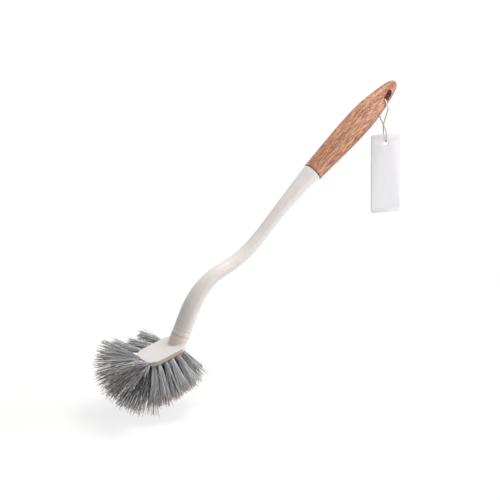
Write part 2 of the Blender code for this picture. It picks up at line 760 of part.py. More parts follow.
def make_card(material):
    """Blank card with round corners and a hole, hanging on the string by the hole's upper edge."""
    curve = bpy.data.curves.new("card", "CURVE")
    curve.dimensions = "2D"
    curve.fill_mode = "BOTH"
    curve.extrude = CARD_THICKNESS / 2
    half = CARD_WIDTH / 2
    top = CARD_HOLE_BELOW_TOP
    bottom = top - CARD_LENGTH
    corners = (
        ((half - CARD_CORNER, top - CARD_CORNER), 0.0),
        ((CARD_CORNER - half, top - CARD_CORNER), 90.0),
        ((CARD_CORNER - half, bottom + CARD_CORNER), 180.0),
        ((half - CARD_CORNER, bottom + CARD_CORNER), 270.0),
    )
    outline = []
    for centre, first in corners:
        outline += corner_arc(centre, CARD_CORNER, first, CARD_CORNER_STEPS)
    radius = CARD_HOLE_DIAMETER / 2
    turns = [2 * math.pi * i / CARD_HOLE_SIDES for i in range(CARD_HOLE_SIDES)]
    hole = [(radius * math.cos(a), radius * math.sin(a)) for a in turns]
    for points in (outline, hole):
        spline = curve.splines.new("POLY")
        spline.points.add(len(points) - 1)
        for point, (x, y) in zip(spline.points, points):
            point.co = (x, y, 0.0, 1.0)
        spline.use_cyclic_u = True
    holder = bpy.data.objects.new("card", curve)
    bpy.data.collections[CUTTERS].objects.link(holder)
    graph = bpy.context.evaluated_depsgraph_get()
    mesh = bpy.data.meshes.new_from_object(holder.evaluated_get(graph))
    bpy.data.objects.remove(holder, do_unlink=True)
    shape = bmesh.new()
    shape.from_mesh(mesh)
    bmesh.ops.remove_doubles(shape, verts=shape.verts, dist=MERGE_DISTANCE)
    drop = STRING_DIAMETER / 2 + HANG_GAP - radius
    place = hanging_point() + Vector((0.0, 0.0, drop))
    stand = Matrix.Rotation(math.radians(CARD_TURN), 4, "Z") @ Matrix.Rotation(math.radians(90.0), 4, "X")
    bmesh.ops.transform(shape, matrix=Matrix.Translation(place) @ stand, verts=shape.verts)
    return set_origin(add_piece("blank_card", finish_mesh(shape, "blank_card"), material), hanging_point())


def build():
    """Builds every piece of the brush."""
    clear_scene()
    new_collection(PARTS)
    new_collection(CUTTERS)
    cream = make_material("cream_plastic", (0.80, 0.76, 0.71), 0.42)
    wood = make_material("wood_grip", (0.45, 0.19, 0.09), 0.5)
    grey = make_material("grey_bristle", (0.26, 0.26, 0.28), 0.6)
    cotton = make_material("cotton_string", (0.78, 0.74, 0.68), 0.9)
    paper = make_material("white_card", (0.82, 0.81, 0.84), 0.6)
    plan = tuft_plan()
    make_head_block(cream, plan)
    make_stem(cream)
    make_grip(wood)
    for name, root, direction, length in plan:
        make_tuft(name, root, direction, length, grey)
    make_string(cotton)
    make_knot(cotton)
    make_card(paper)


build()
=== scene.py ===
"""Looks of the toilet brush: bristles, twisted string, card and the finish of every surface.

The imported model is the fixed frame. Lengths are metres. Angles in fields are degrees, unless the class
says radians. The origin is the middle of the hanging slot, +X runs from the head towards the grip's
tip and +Z is up.

A Noise is a scale, its octaves and their share. A Span is the range that is read and the range that it
is mapped onto. A relief is a height and its strength.
"""

import json
import logging
import math
from dataclasses import dataclass
from enum import Enum
from typing import Any, Callable, Sequence

import bmesh
import bpy
import numpy as np
from bpy.types import ID, Material, Mesh, Node, NodeSocket, NodeTree, Object
from mathutils import Matrix, Vector

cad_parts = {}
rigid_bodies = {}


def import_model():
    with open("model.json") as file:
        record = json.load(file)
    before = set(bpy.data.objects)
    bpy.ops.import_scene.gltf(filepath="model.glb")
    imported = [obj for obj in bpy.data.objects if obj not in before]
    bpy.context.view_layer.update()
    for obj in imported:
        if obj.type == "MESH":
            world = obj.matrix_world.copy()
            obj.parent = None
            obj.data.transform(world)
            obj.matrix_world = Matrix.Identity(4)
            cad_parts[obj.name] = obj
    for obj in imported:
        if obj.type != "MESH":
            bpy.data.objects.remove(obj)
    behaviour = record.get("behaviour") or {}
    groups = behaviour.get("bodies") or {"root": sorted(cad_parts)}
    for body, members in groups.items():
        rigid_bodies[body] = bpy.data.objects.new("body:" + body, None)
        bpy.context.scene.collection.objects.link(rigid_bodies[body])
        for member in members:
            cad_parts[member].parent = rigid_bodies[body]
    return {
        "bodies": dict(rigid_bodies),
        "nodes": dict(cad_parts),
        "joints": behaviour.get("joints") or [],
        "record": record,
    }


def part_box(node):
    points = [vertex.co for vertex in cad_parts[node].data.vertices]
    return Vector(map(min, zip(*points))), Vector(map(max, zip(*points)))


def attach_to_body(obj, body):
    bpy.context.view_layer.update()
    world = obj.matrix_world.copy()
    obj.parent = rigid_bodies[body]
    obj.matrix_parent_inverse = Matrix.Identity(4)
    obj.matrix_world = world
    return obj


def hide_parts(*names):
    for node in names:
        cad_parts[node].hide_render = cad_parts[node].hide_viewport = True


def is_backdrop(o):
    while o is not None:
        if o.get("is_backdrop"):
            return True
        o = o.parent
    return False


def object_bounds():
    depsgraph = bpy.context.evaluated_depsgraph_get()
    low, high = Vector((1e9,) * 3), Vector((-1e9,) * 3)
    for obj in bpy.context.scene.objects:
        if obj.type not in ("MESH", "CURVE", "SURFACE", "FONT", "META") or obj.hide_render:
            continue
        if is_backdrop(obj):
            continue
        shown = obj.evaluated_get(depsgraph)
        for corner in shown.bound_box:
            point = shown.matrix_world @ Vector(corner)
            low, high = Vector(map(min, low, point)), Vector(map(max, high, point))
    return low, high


LOG = logging.getLogger("toilet_brush")
GOLDEN_ANGLE = 137.507764
SIDEWAYS = Vector((0.0, 1.0, 0.0))
WHITE = (1.0, 1.0, 1.0)
Pair = tuple[float, float]
Triple = tuple[float, float, float]
Span = tuple[float, float, float, float]
Noise = tuple[float | Pair | Triple, float, float]
Inputs = dict[str | int, Any]


class Body(Enum):
    """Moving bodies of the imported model."""

    BRUSH = "brush"
    STRING_LOOP = "string_loop"
    TAG = "tag"


class Slot(Enum):
    """Material slots of the record."""

    CREAM = "cream_plastic"
    WOOD = "wood_look_grip"
    BRISTLE = "grey_bristle"
    COTTON = "cotton_string"
    CARD = "white_card"


def sign(operation: str, swapped: bool = False) -> Callable[["Wire", Any], "Wire"]:
    """Makes the method behind an arithmetic sign between a wire and another value."""
    def method(self: "Wire", other: Any) -> "Wire":
        """Writes the node and returns its result."""
        pair = (other, self) if swapped else (self, other)
        return self.writer.math(operation, *pair)

    return method


class Wire:
    """Output of a node, whose arithmetic writes more nodes."""

    def __init__(self, writer: "NodeWriter", socket: NodeSocket) -> None:
        """Keeps a socket with the writer of its tree."""
        self.writer, self.socket = writer, socket

    __add__ = sign("ADD")
    __sub__ = sign("SUBTRACT")
    __rsub__ = sign("SUBTRACT", swapped=True)
    __mul__ = sign("MULTIPLY")
    __truediv__ = sign("DIVIDE")
    __pow__ = sign("POWER")

    def __abs__(self) -> "Wire":
        """Its size without its sign."""
        return self.writer.math("ABSOLUTE", self)

    def spread(self, low: float, high: float, first: float = 0.0, last: float = 1.0, **way: str) -> "Wire":
        """Maps the range low to high onto first to last, clamped."""
        inputs = {"Value": self, "From Min": low, "From Max": high, "To Min": first, "To Max": last}
        return self.writer.out("ShaderNodeMapRange", inputs, **way)


class NodeWriter:
    """Writes nodes into a tree and joins their sockets."""

    def __init__(self, tree: NodeTree) -> None:
        """Starts on a shader or geometry node tree."""
        self.tree = tree

    def node(self, kind: str, inputs: Inputs | None = None, **settings: Any) -> Node:
        """Adds a node, with its settings made before its inputs are fed.

        Args:
            kind: Blender's name for the node.
            inputs: A value or a wire for each input that is fed, under its name or its number.
            **settings: Properties of the node.

        Returns:
            The node.
        """
        node = self.tree.nodes.new(kind)
        for name, value in settings.items():
            setattr(node, name, value)
        for name, value in (inputs or {}).items():
            if isinstance(name, int):
                target = node.inputs[name]
            else:
                target = next(s for s in node.inputs if s.name == name and s.enabled)
            if isinstance(value, Wire):
                self.tree.links.new(value.socket, target)
            else:
                target.default_value = (*value, 1.0) if target.type == "RGBA" else value
        return node

    def out(self, kind: str, inputs: Inputs | None = None, name: str = "", **settings: Any) -> Wire:
        """Adds a node and returns its output of a name, or else its first one in use."""
        outputs = self.node(kind, inputs, **settings).outputs
        return Wire(self, next(s for s in outputs if s.enabled and name in ("", s.name)))

    def math(self, operation: str, *values: Any) -> Wire:
        """Adds a Math node, or a Vector Math node where the first value is a vector."""
        inputs = dict(enumerate(values))
        if not isinstance(values[0], Wire) or values[0].socket.type != "VECTOR":
            return self.out("ShaderNodeMath", inputs, operation=operation)
        if operation == "MULTIPLY":
            inputs, operation = {0: values[0], "Scale": values[1]}, "SCALE"
        return self.out("ShaderNodeVectorMath", inputs, operation=operation)

    def parts(self, vector: Wire) -> list[Wire]:
        """The X, Y and Z of a vector."""
        return [Wire(self, s) for s in self.node("ShaderNodeSeparateXYZ", {"Vector": vector}).outputs]


class GrowthTree(NodeWriter):
    """Geometry node tree that takes geometry and named sizes, and sweeps curves into a mesh."""

    def __init__(self, name: str, **sizes: Any) -> None:
        """Makes the empty tree, with an input for each size and for the material."""
        super().__init__(bpy.data.node_groups.new(name, "GeometryNodeTree"))
        face = self.tree.interface
        face.new_socket("Geometry", in_out="INPUT", socket_type="NodeSocketGeometry")
        for size, value in sizes.items():
            kind = "Material" if isinstance(value, Material) else type(value).__name__.title()
            face.new_socket(size, in_out="INPUT", socket_type="NodeSocket" + kind)
        face.new_socket("Geometry", in_out="OUTPUT", socket_type="NodeSocketGeometry")
        self.sizes = sizes
        self.entry = {s.name: Wire(self, s) for s in self.tree.nodes.new("NodeGroupInput").outputs}

    def attribute(self, name: str, kind: str = "FLOAT") -> Wire:
        """Reads a named attribute."""
        return self.out("GeometryNodeInputNamedAttribute", {"Name": name}, data_type=kind)

    def store(self, geometry: Wire, name: str, value: Wire) -> Wire:
        """Stores a number or a vector on every point under a name and returns the geometry."""
        kind = "FLOAT_VECTOR" if value.socket.type == "VECTOR" else "FLOAT"
        inputs = {"Geometry": geometry, "Name": name, "Value": value}
        return self.out("GeometryNodeStoreNamedAttribute", inputs, data_type=kind, domain="POINT")

    def random(self, shift: int, low: Any, high: Any) -> Wire:
        """Random number or vector for each element, from the seed and a shift of its own."""
        kind = "FLOAT_VECTOR" if isinstance(low, tuple) else "FLOAT"
        inputs = {"Min": low, "Max": high, "Seed": self.entry["seed"] + shift}
        return self.out("FunctionNodeRandomValue", inputs, data_type=kind)

    def ring(self, sides: Any, radius: Any) -> Wire:
        """A round profile curve."""
        return self.out("GeometryNodeCurvePrimitiveCircle", {"Resolution": sides, "Radius": radius})

    def moved(self, geometry: Wire, **inputs: Wire) -> Wire:
        """Geometry with its points moved to a Position or by an Offset."""
        return self.out("GeometryNodeSetPosition", {"Geometry": geometry, **inputs})

    def finish(self, curve: Wire, profile: Wire, **scale: Wire) -> None:
        """Ends the tree: a closed sweep as real geometry, with smooth faces and one material."""
        inputs = {"Curve": curve, "Profile Curve": profile, "Fill Caps": True, **scale}
        swept = self.out("GeometryNodeCurveToMesh", inputs)
        real = self.out("GeometryNodeRealizeInstances", {"Geometry": swept})
        smooth = self.out("GeometryNodeSetShadeSmooth", {"Geometry": real})
        inputs = {"Geometry": smooth, "Material": self.entry["material"]}
        self.node("NodeGroupOutput", {"Geometry": self.out("GeometryNodeSetMaterial", inputs)})

    def grow(self, name: str, seed_object: Object) -> Object:
        """Runs the tree on an object, which is removed, and keeps the result as a plain piece."""
        modifier = seed_object.modifiers.new(name, "NODES")
        modifier.node_group = self.tree
        for item in self.tree.interface.items_tree:
            if item.in_out == "INPUT" and item.name in self.sizes:
                modifier[item.identifier] = self.sizes[item.name]
        return add_object(name, baked_mesh(seed_object))


class Shader(NodeWriter):
    """Material whose Principled shader is fed by nodes that read object coordinates."""

    def __init__(self, name: str) -> None:
        """Makes a node material of a name."""
        self.material = bpy.data.materials.new(name)
        self.material.use_nodes = True
        super().__init__(self.material.node_tree)
        self.principled = self.tree.nodes["Principled BSDF"]
        self.place = self.out("ShaderNodeTexCoord", name="Object")

    def feed(self, name: str, value: Wire) -> None:
        """Joins a wire to an input of the shader."""
        self.tree.links.new(value.socket, self.principled.inputs[name])

    def attribute(self, name: str) -> Wire:
        """Reads a number kept on the mesh."""
        return self.out("ShaderNodeAttribute", name="Fac", attribute_name=name)

    def turned(self, pitch: float) -> Wire:
        """Object coordinates turned in the plane Y = 0 by degrees."""
        inputs = {"Vector": self.place, "Rotation": (0.0, math.radians(pitch), 0.0)}
        return self.out("ShaderNodeMapping", inputs)

    def noise(self, scale: float | Triple, detail: float, rough: float, pitch: float = 0.0) -> Wire:
        """Noise texture's value.

        Args:
            scale: One scale, or one for each of the turned axes.
            detail: Octaves of finer noise.
            rough: Share of each finer octave.
            pitch: Turn of the axes in degrees, where each has its own scale.

        Returns:
            The value.
        """
        inputs = {"Vector": self.place, "Scale": scale, "Detail": detail, "Roughness": rough}
        if isinstance(scale, tuple):
            stretched = self.out("ShaderNodeMapping", {"Vector": self.turned(pitch), "Scale": scale})
            inputs |= {"Vector": stretched, "Scale": 1.0}
        return self.out("ShaderNodeTexNoise", inputs, name="Fac")

    def ramp(self, value: Wire, places: Pair, *colours: Triple) -> Wire:
        """Colour ramp between two places, in linear red, green and blue."""
        node = self.node("ShaderNodeValToRGB", {"Fac": value})
        for element, position, colour in zip(node.color_ramp.elements, places, colours):
            element.position = position
            element.color = (*colour, 1.0)
        return Wire(self, node.outputs["Color"])

    def mix(self, factor: Wire, first: Any, second: Any, blend: str = "MIX") -> Wire:
        """Mixes two colours."""
        inputs = {"Factor": factor, "A": first, "B": second}
        return self.out("ShaderNodeMix", inputs, data_type="RGBA", blend_type=blend)

    def relief(self, height: Wire, distance: float, strength: float) -> None:
        """Feeds a height map to the shader as a bump."""
        inputs = {"Height": height, "Distance": distance, "Strength": strength}
        self.feed("Normal", self.out("ShaderNodeBump", inputs))


@dataclass(frozen=True)
class Finish:
    """One material: the shader's own numbers as fields, and its nodes by the paint method."""

    name: str
    roughness: float
    coat: float = 0.0
    coat_roughness: float = 0.03
    sheen: float = 0.0
    sheen_roughness: float = 0.5

    def paint(self, shader: Shader) -> None:
        """Writes the nodes that feed the shader."""
        raise NotImplementedError

    def material(self) -> Material:
        """Makes the material."""
        shader = Shader(self.name)
        numbers = {
            "Roughness": self.roughness, "Coat Weight": self.coat, "Coat Roughness": self.coat_roughness,
            "Sheen Weight": self.sheen, "Sheen Roughness": self.sheen_roughness,
        }
        for name, value in numbers.items():
            shader.principled.inputs[name].default_value = value
        self.paint(shader)
        return shader.material


@dataclass(frozen=True)
class MouldedPlastic(Finish):
    """Satin cream plastic with faint flow marks and a fine moulded texture."""

    name: str = "satin_cream_plastic"
    pale: Triple = (0.80, 0.768, 0.752)
    warm: Triple = (0.755, 0.712, 0.688)
    roughness: float = 0.36
    coat: float = 0.16
    coat_roughness: float = 0.10
    flow: Noise = (55.0, 4.0, 0.55)
    flow_span: Pair = (0.35, 0.70)
    patches: Noise = (330.0, 3.0, 0.5)
    patch_rough: Span = (0.3, 0.7, 0.31, 0.42)
    grain: Noise = (5200.0, 2.0, 0.5)
    grain_relief: Pair = (0.000005, 0.4)

    def colour(self, shader: Shader) -> Wire:
        """Cream with faint flow marks."""
        flow = shader.noise(*self.flow).spread(*self.flow_span)
        return shader.mix(flow, self.pale, self.warm)

    def paint(self, shader: Shader) -> None:
        """Writes the nodes that feed the shader."""
        shader.feed("Base Color", self.colour(shader))
        shader.feed("Roughness", shader.noise(*self.patches).spread(*self.patch_rough))
        shader.relief(shader.noise(*self.grain), *self.grain_relief)


@dataclass(frozen=True)
class MouldedHead(MouldedPlastic):
    """The same plastic, its cream a shade darker as painted shade against the strong top light, with painted
    tan shade on the neck and the near wall, a painted highlight along the neck's rim, and one amber spot.
    """

    name: str = "satin_cream_head"
    # Cream a shade darker than the stem's: painted shade that offsets the strong top light on the block.
    pale: Triple = (0.735, 0.710, 0.700)
    warm: Triple = (0.690, 0.660, 0.640)
    # Painted colours: tan shade on the neck and on the near wall, and a pale highlight line at the neck's
    # rim.
    neck: Triple = (0.80, 0.725, 0.655)
    wall: Triple = (0.50, 0.445, 0.385)
    rim: Triple = (0.93, 0.900, 0.860)
    amber: Triple = (0.46, 0.330, 0.245)
    top_place: Triple = (-0.2432, 0.0, -0.2000)
    top_normal: Triple = (-0.2300, 0.0, 0.9732)
    seam_place: Triple = (-0.2409, 0.0, -0.1956)
    seam_normal: Triple = (0.4648, 0.0, 0.8854)
    amber_place: Triple = (-0.2786, -0.0155, -0.2091)
    amber_radius: float = 0.0026
    amber_share: float = 0.8
    wall_front: float = -0.2780
    wall_rear: float = -0.2500
    wall_fade: float = 0.0050
    rim_height: float = 0.0008
    blend: float = 0.0009

    def colour(self, shader: Shader) -> Wire:
        """Cream on the flat top, with painted tan shade above its plane and along the near wall, and a
        painted highlight at the neck's rim.
        """
        height = shader.math("DOT_PRODUCT", shader.place - self.top_place, self.top_normal)
        # Painted shade: tan above the top plane, on the neck.
        neck_shaded = shader.mix(height.spread(0.0, self.blend), super().colour(shader), self.neck)
        seam = shader.math("DOT_PRODUCT", shader.place - self.seam_place, self.seam_normal)
        # Painted highlight: a pale line just below the seam at the neck's rim.
        rim_lit = shader.mix(seam.spread(-self.rim_height, -self.rim_height / 2), neck_shaded, self.rim)
        along = shader.parts(shader.place)[0]
        # Painted shade: tan along the near wall, between its front and rear ends.
        ahead = along.spread(self.wall_front, self.wall_front + self.wall_fade)
        behind = along.spread(self.wall_rear + self.wall_fade, self.wall_rear)
        under = height.spread(-self.blend / 3, -self.blend)
        wall_shaded = shader.mix(under * (ahead * behind), rim_lit, self.wall)
        away = shader.math("LENGTH", shader.place - self.amber_place)
        spot = away.spread(self.amber_radius, self.amber_radius / 2, 0.0, self.amber_share)
        return shader.mix(spot, wall_shaded, self.amber)


@dataclass(frozen=True)
class WoodLook(Finish):
    """Printed wood look with arched growth lines, dark dashes and engraved pores; painted glints on the upper
    side, and painted shade at the tip, along the lower edge, in the slot and in the joint at the face.
    """

    name: str = "wood_look_print"
    roughness: float = 0.42
    coat: float = 0.10
    coat_roughness: float = 0.25
    dark: Triple = (0.130, 0.045, 0.024)
    middle: Triple = (0.462, 0.184, 0.090)
    light: Triple = (0.735, 0.338, 0.182)
    # Pale colour of the painted glints, strongest on the grip's upper side.
    pale: Triple = (0.930, 0.560, 0.385)
    # Tip colour, multiplied in towards the tip: painted shade.
    tip: Triple = (0.560, 0.350, 0.225)
    # Edge colour, multiplied in along the lower edge: painted shade.
    edge: Triple = (0.500, 0.430, 0.400)
    # Darker plain brown in the slot: painted shade of the recess.
    inside: Triple = (0.360, 0.135, 0.075)
    # Dark line at the grip's face: painted shadow in the joint with the stem.
    rim: Triple = (0.110, 0.045, 0.028)
    axis_pitch: float = 36.4
    slot_pitch: float = 49.9
    slot_reach: float = 0.0033
    slot_radius: float = 0.0041
    slot_blend: float = 0.0004
    face_place: float = -0.1086
    face_rim: float = 0.0007
    tip_shade: Span = (-0.0150, 0.0120, 0.0, 0.85)
    tip_roughness: float = 0.70
    edge_shade: Span = (-0.0020, -0.0115, 0.0, 0.85)
    arch: float = 760.0
    arch_below: float = 0.0030
    ring_pitch: float = 0.0120
    warp: float = 0.0180
    sway: Noise = ((18.0, 90.0, 90.0), 3.0, 0.5)
    tone: Noise = ((24.0, 300.0, 300.0), 4.0, 0.6)
    tone_span: Pair = (0.32, 0.66)
    line_span: Pair = (0.0, 0.70)
    line_shares: Pair = (0.62, 0.16)
    dash: Noise = ((0.0120, 0.00088), 2.0, 0.55)
    dash_span: Pair = (0.48, 0.56)
    pore: Noise = ((0.0022, 0.00045), 1.0, 0.5)
    pore_span: Pair = (0.54, 0.64)
    pore_rough: Span = (0.4, 0.7, 0.38, 0.64)
    stray_shares: Pair = (0.30, 0.40)
    relief_shares: Pair = (0.45, 0.55)
    pore_relief: Pair = (0.00016, 0.8)
    # Noise for the painted glints and for the dark grain dots.
    fleck: Noise = ((0.0075, 0.00080), 1.0, 0.5)
    fleck_span: Pair = (0.52, 0.60)
    fleck_rise: Span = (-0.0060, 0.0040, 0.12, 0.46)
    dots: Span = (0.47, 0.40, 0.0, 0.28)
    darkest: float = 0.92

    def grain(self, shader: Shader, noise: Noise) -> Wire:
        """Noise drawn out along the grip, where its scale is a size along and one across."""
        (length, width), detail, rough = noise
        return shader.noise((1.0 / length, 1.0 / width, 1.0 / width), detail, rough, self.axis_pitch)

    def slot_mask(self, shader: Shader) -> Wire:
        """One within the hanging slot and its rim, else zero."""
        along, _, up = shader.parts(shader.turned(self.slot_pitch))
        beyond = shader.math("MAXIMUM", abs(along) - self.slot_reach, 0.0)
        away = shader.math("SQRT", beyond ** 2.0 + abs(up) ** 2.0)
        return away.spread(self.slot_radius, self.slot_radius - self.slot_blend)

    def paint(self, shader: Shader) -> None:
        """Writes the nodes that feed the shader."""
        along, _, up = shader.parts(shader.turned(self.axis_pitch))
        bow = abs(up + self.arch_below) ** 2.0 * self.arch
        sway = shader.noise(*self.sway, self.axis_pitch)
        wave = shader.math("SINE", (along + bow + sway * self.warp) * (2 * math.pi / self.ring_pitch))
        dash = self.grain(shader, self.dash).spread(*self.dash_span)
        pores = self.grain(shader, self.pore)
        pore = pores.spread(*self.pore_span)
        tone = shader.noise(*self.tone, self.axis_pitch)
        plain = shader.ramp(tone, self.tone_span, self.middle, self.light)
        # Painted highlight: pale glints, more of them towards the upper side.
        glints_and_dots = self.grain(shader, self.fleck)
        upper = up.spread(*self.fleck_rise)
        glinted = shader.mix(upper * glints_and_dots.spread(*self.fleck_span), plain, self.pale)
        in_line = wave.spread(*self.line_span) * (dash * self.line_shares[0] + self.line_shares[1])
        stray = dash * self.stray_shares[0] + pore * self.stray_shares[1]
        marks = in_line + stray + glints_and_dots.spread(*self.dots)
        lined = shader.mix(shader.math("MINIMUM", marks, self.darkest), glinted, self.dark)
        # Painted shade: darker towards the tip.
        tip = along.spread(*self.tip_shade)
        # Painted shade: darker along the lower edge.
        low = up.spread(*self.edge_shade)
        wood = shader.mix(low, shader.mix(tip, lined, self.tip, "MULTIPLY"), self.edge, "MULTIPLY")
        # Painted shade: the slot and its rim take the plain dark brown.
        slot = self.slot_mask(shader)
        # Painted shadow: a dark line at the grip's face, where it meets the stem.
        seam = along.spread(self.face_place + self.face_rim, self.face_place + self.face_rim / 2)
        shader.feed("Base Color", shader.mix(seam, shader.mix(slot, wood, self.inside), self.rim))
        engraved = dash * self.relief_shares[0] + pore * self.relief_shares[1]
        shader.relief(engraved * (shader.math("MAXIMUM", slot, tip) - 1.0), *self.pore_relief)
        rough = pores.spread(*self.pore_rough)
        shader.feed("Roughness", shader.math("MAXIMUM", rough, tip * self.tip_roughness))


@dataclass(frozen=True)
class NylonBristle(Finish):
    """Grey nylon filament: a random tone of its own plus its row's painted light or shade, streaks along it
    and a warm worn tip.
    """

    name: str = "grey_nylon"
    dark: Triple = (0.075, 0.077, 0.085)
    pale: Triple = (0.80, 0.805, 0.835)
    tip: Triple = (0.47, 0.41, 0.39)
    roughness: float = 0.45
    tone_span: Pair = (0.15, 0.85)
    worn: Span = (0.72, 1.0, 0.0, 0.8)
    streaks: Noise = (900.0, 2.0, 0.5)
    streak_share: float = 0.25
    streak_relief: Pair = (0.00003, 0.5)

    def paint(self, shader: Shader) -> None:
        """Writes the nodes that feed the shader."""
        streak = shader.noise(*self.streaks)
        value = shader.attribute("tone") * (1.0 - self.streak_share) + streak * self.streak_share
        grey = shader.ramp(value, self.tone_span, self.dark, self.pale)
        worn = shader.attribute("along").spread(*self.worn)
        shader.feed("Base Color", shader.mix(worn, grey, self.tip))
        shader.relief(streak, *self.streak_relief)


@dataclass(frozen=True)
class CottonTwine(Finish):
    """Off-white cotton with tan stains, painted tan shade in the lay between its plies, and fine fibres along
    them.
    """

    name: str = "twisted_cotton"
    pale: Triple = (0.83, 0.79, 0.72)
    # Tan for the stains and for the painted shade between the plies.
    tan: Triple = (0.50, 0.41, 0.32)
    roughness: float = 0.9
    sheen: float = 0.25
    sheen_roughness: float = 0.6
    fibres: Noise = (5200.0, 3.0, 0.6)
    fibre_relief: Pair = (0.00008, 0.7)
    fibre_share: float = 0.45
    ridge_share: float = 0.75
    ridge_span: Pair = (0.15, 0.75)
    stains: Noise = (420.0, 2.0, 0.5)
    stain_span: Span = (0.5, 0.8, 0.0, 0.35)

    def paint(self, shader: Shader) -> None:
        """Writes the nodes that feed the shader."""
        fibre = shader.noise(*self.fibres)
        value = shader.attribute("ridge") * self.ridge_share + fibre * self.fibre_share
        # Painted shade: tan in the grooves between the plies, where the ridge value is low.
        cotton = shader.ramp(value, self.ridge_span, self.tan, self.pale)
        stain = shader.noise(*self.stains).spread(*self.stain_span)
        shader.feed("Base Color", shader.mix(stain, cotton, self.tan))
        shader.relief(fibre, *self.fibre_relief)


@dataclass(frozen=True)
class PaperBoard(Finish):
    """Cool white board with a faint fibre mottle and a greyer cut edge, partly the board's grey core and
    partly painted shade.
    """

    name: str = "white_board"
    face: Triple = (0.87, 0.875, 0.915)
    mottle: Triple = (0.84, 0.845, 0.885)
    # Grey of the cut edge: partly the board's grey core, partly painted shade on the narrow edge.
    cut: Triple = (0.58, 0.57, 0.58)
    facing: Triple = (-0.2756, -0.9613, 0.0)
    roughness: float = 0.62
    clouds: Noise = ((260.0, 260.0, 90.0), 5.0, 0.6)
    cloud_span: Pair = (0.35, 0.7)
    cut_span: Pair = (0.75, 0.35)
    fibres: Noise = (2600.0, 3.0, 0.6)
    fibre_relief: Pair = (0.00003, 0.35)

    def paint(self, shader: Shader) -> None:
        """Writes the nodes that feed the shader."""
        clouds = shader.noise(*self.clouds).spread(*self.cloud_span)
        sheet = shader.mix(clouds, self.face, self.mottle)
        # Edges square to the face turn grey: partly core colour, partly painted shade.
        normal = shader.out("ShaderNodeTexCoord", name="Normal")
        square = abs(shader.math("DOT_PRODUCT", normal, self.facing))
        shader.feed("Base Color", shader.mix(square.spread(*self.cut_span), sheet, self.cut))
        shader.relief(shader.noise(*self.fibres), *self.fibre_relief)


def add_object(name: str, data: ID) -> Object:
    """Links a new object at the origin and names its data like it."""
    data.name = name
    item = bpy.data.objects.new(name, data)
    bpy.context.scene.collection.objects.link(item)
    return item


def baked_mesh(holder: Object, *tools: Object) -> Mesh:
    """Mesh of an object with its modifiers applied. The object and its tools are removed."""
    graph = bpy.context.evaluated_depsgraph_get()
    mesh = bpy.data.meshes.new_from_object(holder.evaluated_get(graph), depsgraph=graph)
    for item in (holder, *tools):
        bpy.data.objects.remove(item, do_unlink=True)
    return mesh


def fill(mesh: Mesh, shape: bmesh.types.BMesh) -> Mesh:
    """Writes a closed shape into a mesh with its faces outwards, and returns the mesh."""
    bmesh.ops.recalc_face_normals(shape, faces=shape.faces)
    shape.to_mesh(mesh)
    shape.free()
    return mesh


def dress(piece: Object, material: Material) -> None:
    """Gives a piece one material and leaves its mesh alone."""
    if not piece.material_slots:
        piece.data.materials.append(material)
    for slot in piece.material_slots:
        slot.link = "OBJECT"
        slot.material = material


def attach(piece: Object, body: Body, replaced: Sequence[str]) -> None:
    """Makes a piece ride on a body in place of CAD nodes, and logs it.

    Args:
        piece: The finished piece.
        body: The body it moves with.
        replaced: The CAD nodes it stands for.
    """
    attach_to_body(piece, body.value)
    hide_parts(*replaced)
    LOG.info("%s: %d faces, on %s", piece.name, len(piece.data.polygons), body.value)


def loft_mesh(name: str, rings: Sequence[Sequence[Vector]]) -> Mesh:
    """Makes a closed mesh through rings of the same number of points, in order along the body."""
    shape = bmesh.new()
    rows = [[shape.verts.new(point) for point in ring] for ring in rings]
    for low, high in zip(rows, rows[1:]):
        for i in range(len(low)):
            j = (i + 1) % len(low)
            shape.faces.new((low[i], low[j], high[j], high[i]))
    for end in (rows[0], rows[-1]):
        shape.faces.new(end)
    return fill(bpy.data.meshes.new(name), shape)


def carve(name: str, body: Mesh, tools: Sequence[Mesh]) -> Object:
    """Cuts meshes out of a body and keeps the result as a plain piece."""
    holder = add_object(name + "_blank", body)
    workers = [add_object(mesh.name + "_tool", mesh) for mesh in tools]
    for worker in workers:
        modifier = holder.modifiers.new(worker.name, "BOOLEAN")
        modifier.solver = "EXACT"
        modifier.operation = "DIFFERENCE"
        modifier.object = worker
    return add_object(name, baked_mesh(holder, *workers))


def curve_object(name: str, *lines: Sequence[Vector], closed: bool = False) -> Object:
    """Makes a curve object of poly lines: open in space, or closed and flat."""
    curve = bpy.data.curves.new(name, "CURVE")
    curve.dimensions = "2D" if closed else "3D"
    for places in lines:
        line = curve.splines.new("POLY")
        line.points.add(len(places) - 1)
        line.use_cyclic_u = closed
        for point, place in zip(line.points, places):
            point.co = (*place, 1.0)
    return add_object(name, curve)


def shade(piece: Object, angle: float) -> None:
    """Shades a piece smooth, apart from edges sharper than an angle in degrees."""
    piece.data.shade_smooth()
    piece.data.set_sharp_from_angle(angle=math.radians(angle))


def heading_vector(degrees: float) -> Vector:
    """Unit vector in the plane Y = 0 at an angle above +X."""
    angle = math.radians(degrees)
    return Vector((math.cos(angle), 0.0, math.sin(angle)))


def oval(centre: Vector, first: Vector, second: Vector, sides: int) -> list[Vector]:
    """Points round an oval with two half axes."""
    turns = [2 * math.pi * i / sides for i in range(sides)]
    return [centre + first * math.cos(turn) + second * math.sin(turn) for turn in turns]


